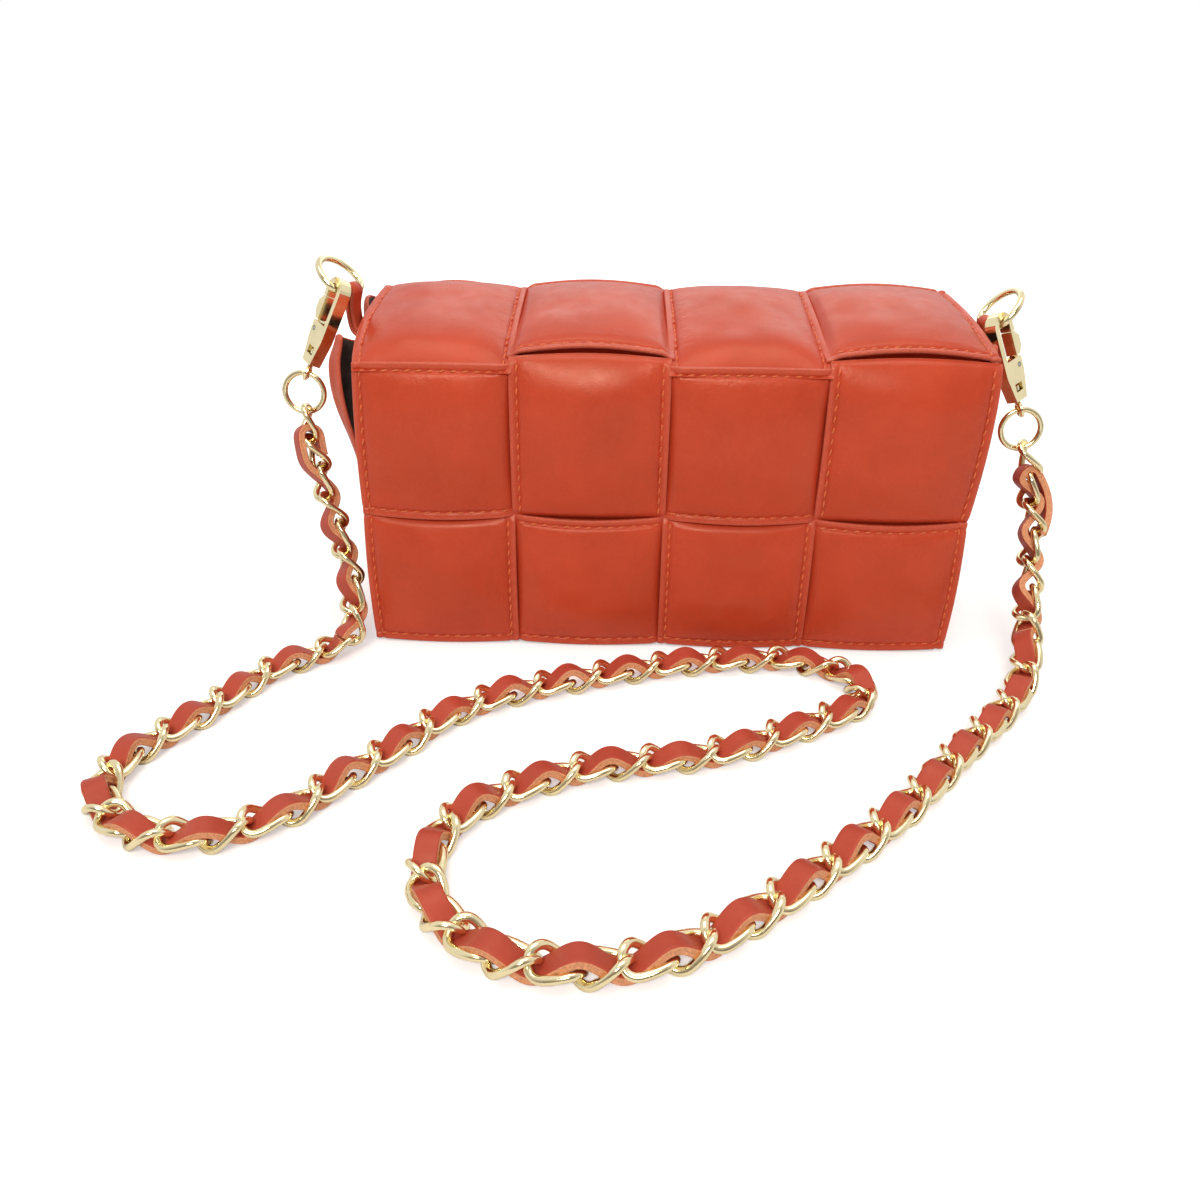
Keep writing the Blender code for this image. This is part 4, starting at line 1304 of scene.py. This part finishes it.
def top_blend():
    """Bodies and places between which leather and lining bend at the flap's back edge."""
    hinge = Vector((0, BACK_FACE, top_height(BACK_FACE, PAD_EDGE)))
    return "root", "flap_top", hinge, hinge + Vector((0, -0.012, 0))


def fold_blend():
    """Bodies and places between which leather and lining bend at the fold."""
    hinge = Vector((0, FRONT_FACE, top_height(FRONT_FACE, PAD_EDGE) - GAP))
    return "flap_top", "flap_front", hinge + Vector((0, 0, 0.002)), hinge - Vector((0, 0, 0.010))


def top_squares():
    shift = PAD_EDGE * math.sin(TOP_SLOPE)
    back = BACK_FACE + shift
    high = top_height(back, PAD_EDGE)
    for index in range(COLUMNS):
        left, right = column_edges(index)
        near = FRONT_FACE + shift
        near_height = top_height(near, PAD_EDGE)
        if is_flat_strip(0, index):
            near += TOP_LIP_SETBACK
            near_height += TOP_LIP_SETBACK * math.tan(TOP_SLOPE) + TOP_LIP_RAISE
            sides = [tuck(), tuck(), lip("top_front"), lip("top_back")]
        else:
            sides = [lip("strip"), lip("strip"), roll(0.0, TOP_ROLL_REACH), tuck(reach=SHORT_REACH)]
        if index == 0:
            sides[0] = lip("top_left_end")
        if index == COLUMNS - 1:
            sides[1] = lip("top_right_end")
        near_left, near_right = fold_edges(index)
        corners = ((near_left, near, near_height), (near_right, near, near_height),
                   (right, back, high), (left, back, high))
        square = Square(corners, sides, TOP_CROWN, 20 + index)
        padded_square(f"top_square_{index + 1}", f"top_pad_{index + 1}", square, blend=top_blend())


def wall_squares(face, top, seed, corners_at, sides_at, motions):
    """Two rows of four squares on the front or the back. Row 1 is the upper one."""
    half = (GROUND_GAP + top) / 2
    for row, low, high in ((1, half, top), (2, GROUND_GAP, half)):
        for index in range(COLUMNS):
            corners = corners_at(row, index, low, high)
            square = Square(corners, sides_at(row, index), FRONT_CROWN, seed + 4 * row + index)
            name = f"{face}_square_{row}_{index + 1}"
            padded_square(name, f"{face}_pad_{row}_{index + 1}", square, **motions[row])


def front_squares():
    y = FRONT_FACE + PAD_EDGE

    def corners_at(row, index, low, high):
        left, right = column_edges(index)
        top_left, top_right = (left, right) if row == 2 else fold_edges(index)
        if row == 1:
            high += FLAT_STRIP_LIFT if is_flat_strip(row, index) else UPRIGHT_STRIP_LIFT
        return (left, y, low), (right, y, low), (top_right, y, high), (top_left, y, high)

    def sides_at(row, index):
        upper_row = row == 1
        if is_flat_strip(row, index):
            sides = [tuck(), tuck(), lip("front_low"), lip("front_top" if upper_row else "front_middle")]
        else:
            upper = roll(FRONT_ROLL_BOW, SHORT_REACH) if upper_row else tuck(FRONT_TUCK_BOW)
            sides = [lip("strip"), lip("strip"), tuck(FRONT_TUCK_DIP), upper]
        if not upper_row:
            sides[2] = lip("front_bottom")
        if index == 0:
            sides[0] = lip("end")
        if index == COLUMNS - 1:
            sides[1] = lip("front_right_end" if upper_row else "front_right_low")
        return sides

    fold = top_height(FRONT_FACE, PAD_EDGE) - GAP
    motions = {1: {"blend": fold_blend()}, 2: {"body": "flap_front"}}
    wall_squares("front", fold, 40, corners_at, sides_at, motions)


def back_squares():
    y = BACK_FACE - PAD_EDGE

    def corners_at(row, index, low, high):
        left, right = column_edges(index)
        return (right, y, low), (left, y, low), (left, y, high), (right, y, high)

    def sides_at(row, index):
        if is_flat_strip(row, index):
            sides = [tuck(), tuck(), lip("back_low"), lip("back_top" if row == 1 else "back_middle")]
        else:
            sides = [lip("strip"), lip("strip"), tuck(BACK_TUCK_DIP), tuck(reach=SHORT_REACH)]
        if row == 2:
            sides[2] = lip("back_bottom")
        if index == 0:
            sides[1] = lip("end")
            if row == 1:
                sides[3] = lip("back_left_top")
        if index == COLUMNS - 1:
            sides[0] = lip("end")
        return sides

    top = top_height(BACK_FACE - PAD_EDGE, PAD_EDGE) - GAP
    wall_squares("back", top, 60, corners_at, sides_at, {1: {"body": "root"}, 2: {"body": "root"}})


def side_squares():
    for word, sign in SIDES.items():
        node = f"{word}_pad_lower"
        low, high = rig.box(node)
        x = low.x if sign > 0 else high.x
        first, second = (low.y, high.y) if sign > 0 else (high.y, low.y)
        corners = [(x, first, low.z), (x, second, low.z), (x, second, high.z), (x, first, high.z)]
        sides = [lip("side"), lip("side"), lip("side"), tuck(reach=SIDE_REACH)]
        square = Square(corners, sides, SIDE_CROWN, 80 + sign, SIDE_LEVEL)
        padded_square(f"{word}_square_lower", node, square, body="root")


def base_squares():
    for index in range(COLUMNS):
        node = f"base_pad_{index + 1}"
        low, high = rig.box(node)
        outline = ((low.x, high.y), (high.x, high.y), (high.x, low.y), (low.x, low.y))
        corners = [(x, y, high.z) for x, y in outline]
        ends = [tuck(), tuck()] if index % 2 else [lip("base"), lip("base")]
        sides = ends + [lip("base"), lip("base")]
        square = Square(corners, sides, BASE_CROWN, 90 + index, BASE_LEVEL, flat_at=0.0)
        padded_square(f"base_square_{index + 1}", node, square, body="root")


def gusset_place(word, u, v, low, high):
    """Place along and up the side wall, u from front to back and v upwards, and the stand off the wall."""
    upper = smoothstep((v - GUSSET_UPPER_SHARE) / (1 - GUSSET_UPPER_SHARE))
    front = low.y + GUSSET_INSET + GUSSET_SETBACK * upper
    y = front + (high.y - front) * u
    behind = arch(clamp((u - GUSSET_BACK_START_SHARE) / (1 - GUSSET_BACK_START_SHARE)) ** 0.8)
    ear = GUSSET_EAR * (1 - smoothstep(u / GUSSET_EAR_SHARE)) + GUSSET_BACK_EARS[word] * behind
    top = high.z + GUSSET_TOP_RISE + ear - (high.y - y) * math.tan(TOP_SLOPE)
    z = low.z - GUSSET_HANG + (top - low.z + GUSSET_HANG) * v
    swelling = GUSSET_SWELL * arch(u) ** 0.7 * arch(v) ** 0.6
    shoulder = (v - GUSSET_SHOULDER_SHARE) / (1 - GUSSET_SHOULDER_SHARE)
    opening = GUSSET_FLARES[word] * smoothstep(v / GUSSET_SHOULDER_SHARE)
    opening *= 1 - GUSSET_TURN_IN_SHARE * smoothstep(shoulder)
    opening *= (1 - smoothstep(u / GUSSET_OPEN_SHARE)) ** GUSSET_OPEN_POWER
    opening *= 1 - GUSSET_CURL_SHARE * (1 - smoothstep(u / GUSSET_CURL_END_SHARE))
    opening += GUSSET_BACK_FLARE * behind * upper
    dent = noise.noise(Vector((y * 60, z * 45, 7.0 + SIDES[word]))) * GUSSET_DENT * arch(v)
    return y, z, GUSSET_THICKNESS + GUSSET_FILL + swelling + opening + dent


def gusset(word):
    """Upper side panel, held at the back and below, with its front edge bowed away from the lining."""
    sign = SIDES[word]
    node = f"{word}_pad_upper"
    low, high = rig.box(node)
    base = low.x if sign > 0 else high.x
    columns = 27
    rows = 31
    count = columns * rows
    outer = []
    inner = []
    lips = []
    creases = []
    for v in spread(0.0, 1.0, rows - 1):
        for u in spread(0.0, 1.0, columns - 1):
            y, z, stand = gusset_place(word, u, v, low, high)
            outer.append(Vector((base + sign * stand, y, z)))
            inner.append(Vector((base + sign * max(stand - GUSSET_THICKNESS, 0.0002), y, z)))
            travel = u * (high.y - low.y)
            # Paler colour near the front edge: edge wear and a painted highlight
            lips.append(0.5 * bell(travel, GUSSET_WEAR_AND_SHEEN_REACH))
            creases.append(bell(travel - GUSSET_CREASE_PLACE, GUSSET_CREASE_REACH))
    verts = outer + inner
    faces = []
    for a, b, c, d in grid_faces(columns, rows):
        faces += [(a, b, c, d), (count + a, count + d, count + c, count + b)]
    looks = [0, 1] * (len(faces) // 2)
    rim = grid_rim(columns, rows)
    before = [j * columns + i for i, j in rim]
    last = [count + k for k in before]
    for share in (0.2, 0.5, 0.8):
        reach = GUSSET_EDGE_ROUNDING * math.sin(math.pi * share)
        current = []
        for i, j in rim:
            k = j * columns + i
            away = Vector((0, (i == columns - 1) - (i == 0), (j == rows - 1) - (j == 0)))
            current.append(len(verts))
            verts.append(outer[k].lerp(inner[k], share) + away * reach)
        faces += bridge(before, current)
        before = current
    faces += bridge(before, last)
    # The rounded rim takes the full paler colour: edge wear and a painted highlight
    lips += [0.0] * count + [1.0] * (len(verts) - 2 * count)
    creases += [0.0] * (len(verts) - count)
    shape = Builder()
    shape.add(verts, faces, looks + [0] * (len(faces) - len(looks)), lips, creases)
    item = shape.make(f"{word}_gusset", [LEATHER, LINING])
    subdivide(item)
    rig.slot(item, "red_leather")
    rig.padded(item, fill=0.3)
    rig.ride(item, "root")
    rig.replaces(item, node)


# Flap lining


def lining_level(y):
    return top_height(y, PAD_EDGE + GAP + LINING_THICKNESS / 2)


def lining_band(name, node, profile, blend, rests_on):
    """Cloth of even thickness along a profile of (y, z) places, across the bag's width."""
    half = LINING_THICKNESS / 2
    upper = []
    lower = []
    for (y, z), along in zip(profile, directions([Vector(p) for p in profile])):
        upper.append((y - along.y * half, z + along.x * half))
        lower.append((y + along.y * half, z - along.x * half))
    points = [Vector((x, 0, 0)) for x in spread(-LINING_HALF_WIDTH, LINING_HALF_WIDTH, 16)]
    frames = [(Vector((0, 1, 0)), Vector((0, 0, 1)))] * len(points)
    shape = Builder()
    shape.add(*swept(points, frames, upper + lower[::-1], False))
    item = shape.make(name, [LINING])
    item.data.set_sharp_from_angle(angle=math.radians(40))
    length = sum(math.dist(p, q) for p, q in zip(profile, profile[1:]))
    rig.slot(item, "dark_lining")
    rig.sheet(item, flat=(2 * LINING_HALF_WIDTH, length), held="stretched", rests_on=rests_on)
    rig.blend(item, blend[0], blend[1], start=blend[2], end=blend[3])
    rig.replaces(item, node)


def flap_linings():
    top_level = lining_level(LINING_BACK)
    profile = [(y, lining_level(y)) for y in spread(LINING_SEAM + GAP / 2, LINING_BACK, 40)]
    profile += [(y, top_level - drop) for y, drop in LINING_HEM]
    rests = [f"top_square_{index + 1}" for index in range(COLUMNS)]
    lining_band("flap_top_cloth", "flap_top_lining", profile, top_blend(), rests)
    start = LINING_FRONT + LINING_BEND
    profile = [(y, lining_level(y)) for y in spread(LINING_SEAM - GAP / 2, start, 6)]
    corner = lining_level(LINING_FRONT)
    for t in spread(0.0, 1.0, 8)[1:]:
        y = start * (1 - t) ** 2 + LINING_FRONT * (1 - (1 - t) ** 2)
        z = lining_level(start) * (1 - t) ** 2 + corner * (1 - (1 - t) ** 2) - LINING_BEND * t * t
        profile.append((y, z))
    low = corner - LINING_BEND
    fine_end = low - LINING_FINE_HEIGHT
    heights = spread(low, fine_end, 8)[1:] + spread(fine_end, GROUND_GAP, 12)[1:]
    profile += [(LINING_FRONT, z) for z in heights]
    rests = [f"front_square_{row}_{index + 1}" for row in (1, 2) for index in range(COLUMNS)]
    lining_band("flap_front_cloth", "flap_front_lining", profile, fold_blend(), rests)


# Tabs, rings and hooks


def tab(word):
    """Leather strap folded over the D-ring's bar, with both ends held in the side wall."""
    sign = SIDES[word]
    bar = Vector(BAR_PLACES[word])
    low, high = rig.box(f"{word}_tab")
    inner_x = min(abs(low.x), abs(high.x))
    knee = low.z + TAB_LEATHER
    bend = low.z + TAB_RISE
    loop = D_WIRE + GAP + TAB_LEATHER / 2
    bar_x = abs(bar.x)
    half = TAB_LEATHER / 2
    pinch = bar.z - loop - TAB_PINCH
    outer_x = inner_x + 3 * half + TAB_PLAY
    route = [(inner_x + half, low.z), (inner_x + half, knee), (bar_x - half - 0.0012, bend + 0.0015),
             (bar_x - half - TAB_PLAY, pinch)]
    route += arc((bar_x, bar.z), loop, 200, -20, 12)
    route += [(bar_x + half + TAB_PLAY, pinch), (bar_x + half - 0.0010, bend + 0.0012),
              (outer_x, knee), (outer_x, low.z)]
    points = smoothed(curve_through([Vector((sign * x, TAB_PLACE, z)) for x, z in route], 6), 2)
    section = [(x * TAB_WIDTH / 2, y * half) for x, y in TAB_SECTION_SHARES]
    side = Vector((0, 1, 0))
    frames = [(side, along.cross(side).normalized()) for along in directions(points)]
    verts, faces = swept(points, frames, section, False)
    for vert in verts:
        share = clamp((vert.z - knee) / (bend - knee))
        twist = Matrix.Rotation(sign * math.radians(BAR_YAWS_DEG[word]) * share, 3, "Z")
        vert.xyz = bar + twist @ (vert - bar)
    # Paler lip colour at the tab's cut edges and a little all over: edge wear and a painted highlight
    lips = [1.0 if k % len(section) in TAB_EDGE_POINTS else 0.15 for k in range(len(verts))]
    shape = Builder()
    shape.add(verts, faces, 0, lips)
    item = shape.make(f"{word}_tab_loop", [TAB_LOOK])
    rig.slot(item, "edge_leather")
    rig.ride(item, "root")
    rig.replaces(item, f"{word}_tab")


def node_plane(node):
    """Middle of a CAD ring, with two directions in its plane and one through it."""
    places = [vert.co.copy() for vert in frame["nodes"][node].data.vertices]
    centre = sum(places, Vector()) / len(places)
    across = max((p - centre for p in places), key=lambda p: p.length).normalized()
    through = Vector()
    for p in places:
        other = (p - centre).cross(across)
        through += other if other.dot(through) >= 0 else -other
    through.normalize()
    across = square_to(across, through)
    return centre, across, through.cross(across), through


def wire_ring(name, node, body, points, normal, radius):
    """Closed wire whose section keeps one direction along the normal of its plane."""
    frames = [(normal, along.cross(normal)) for along in directions(points, closed=True)]
    shape = Builder()
    shape.add(*swept(points, frames, oval(radius, radius, WIRE_SIDES), True))
    item = shape.make(name, [GOLD_LOOK])
    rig.slot(item, "gold_metal")
    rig.ride(item, body)
    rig.replaces(item, node)


def round_ring(word):
    node = f"{word}_o_ring"
    centre, across, up, through = node_plane(node)
    points = [centre + (across * x + up * y) * O_RING_RADIUS for x, y in oval(1, 1, 72)]
    wire_ring(f"{word}_round_ring", node, f"{word}_swivel", points, through, O_RING_WIRE)


def arc(centre, radius, start_deg, end_deg, steps):
    angles = [math.radians(angle) for angle in spread(start_deg, end_deg, steps)]
    return [(centre[0] + radius * math.cos(a), centre[1] + radius * math.sin(a)) for a in angles]


def bow_ring(word):
    """D-ring: straight bar with rounded corners and a round bow."""
    sign = SIDES[word]
    bar = Vector(BAR_PLACES[word])
    yaw = math.radians(BAR_YAWS_DEG[word])
    lean = math.radians(D_LEANS_DEG[word])
    along = Vector((sign * math.sin(yaw), -math.cos(yaw), 0))
    outward = Vector((sign * math.cos(yaw), math.sin(yaw), 0))
    out = outward * math.sin(lean) + Vector((0, 0, math.cos(lean)))
    half = D_WIDTH / 2
    flat = half - D_CORNER
    outline = [(x, 0.0) for x in spread(flat, -flat, 8)[1:-1]]
    outline += arc((-flat, D_CORNER), D_CORNER, 270, 180, 10)
    outline += arc((0.0, D_DEPTH - half), half, 180, 0, 36)
    outline += arc((flat, D_CORNER), D_CORNER, 360, 270, 10)
    points = [bar + along * p + out * r for p, r in outline]
    normal = along.cross(out).normalized()
    wire_ring(f"{word}_bow_ring", f"{word}_d_ring", f"{word}_clasp", points, normal, D_WIRE)


def smooth_metal():
    """Take the sharp edges off the hooks and gates."""
    for node in ("left_hook", "left_gate", "right_hook", "right_gate"):
        modifier = frame["nodes"][node].modifiers.new("edges", "BEVEL")
        modifier.width = METAL_ROUNDING
        modifier.segments = 3
        modifier.limit_method = "ANGLE"
        modifier.angle_limit = math.radians(35)


make_camera()
make_light()
make_floor()
make_strap()
top_squares()
front_squares()
back_squares()
side_squares()
for side_word in SIDES:
    gusset(side_word)
flap_linings()
for side_word in SIDES:
    tab(side_word)
base_squares()
for side_word in SIDES:
    bow_ring(side_word)
    round_ring(side_word)
smooth_metal()

for node_name, node_item in frame["nodes"].items():
    looks_for_node = [look for word, look in NODE_LOOKS.items() if word in node_name]
    node_item.data.materials.clear()
    node_item.data.materials.append(looks_for_node[0] if looks_for_node else GOLD_LOOK)

with open("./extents.json", "w") as file:
    json.dump({"cad": [list(p) for p in CAD_BOX], "visual": [list(p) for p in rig.bounds()]}, file)
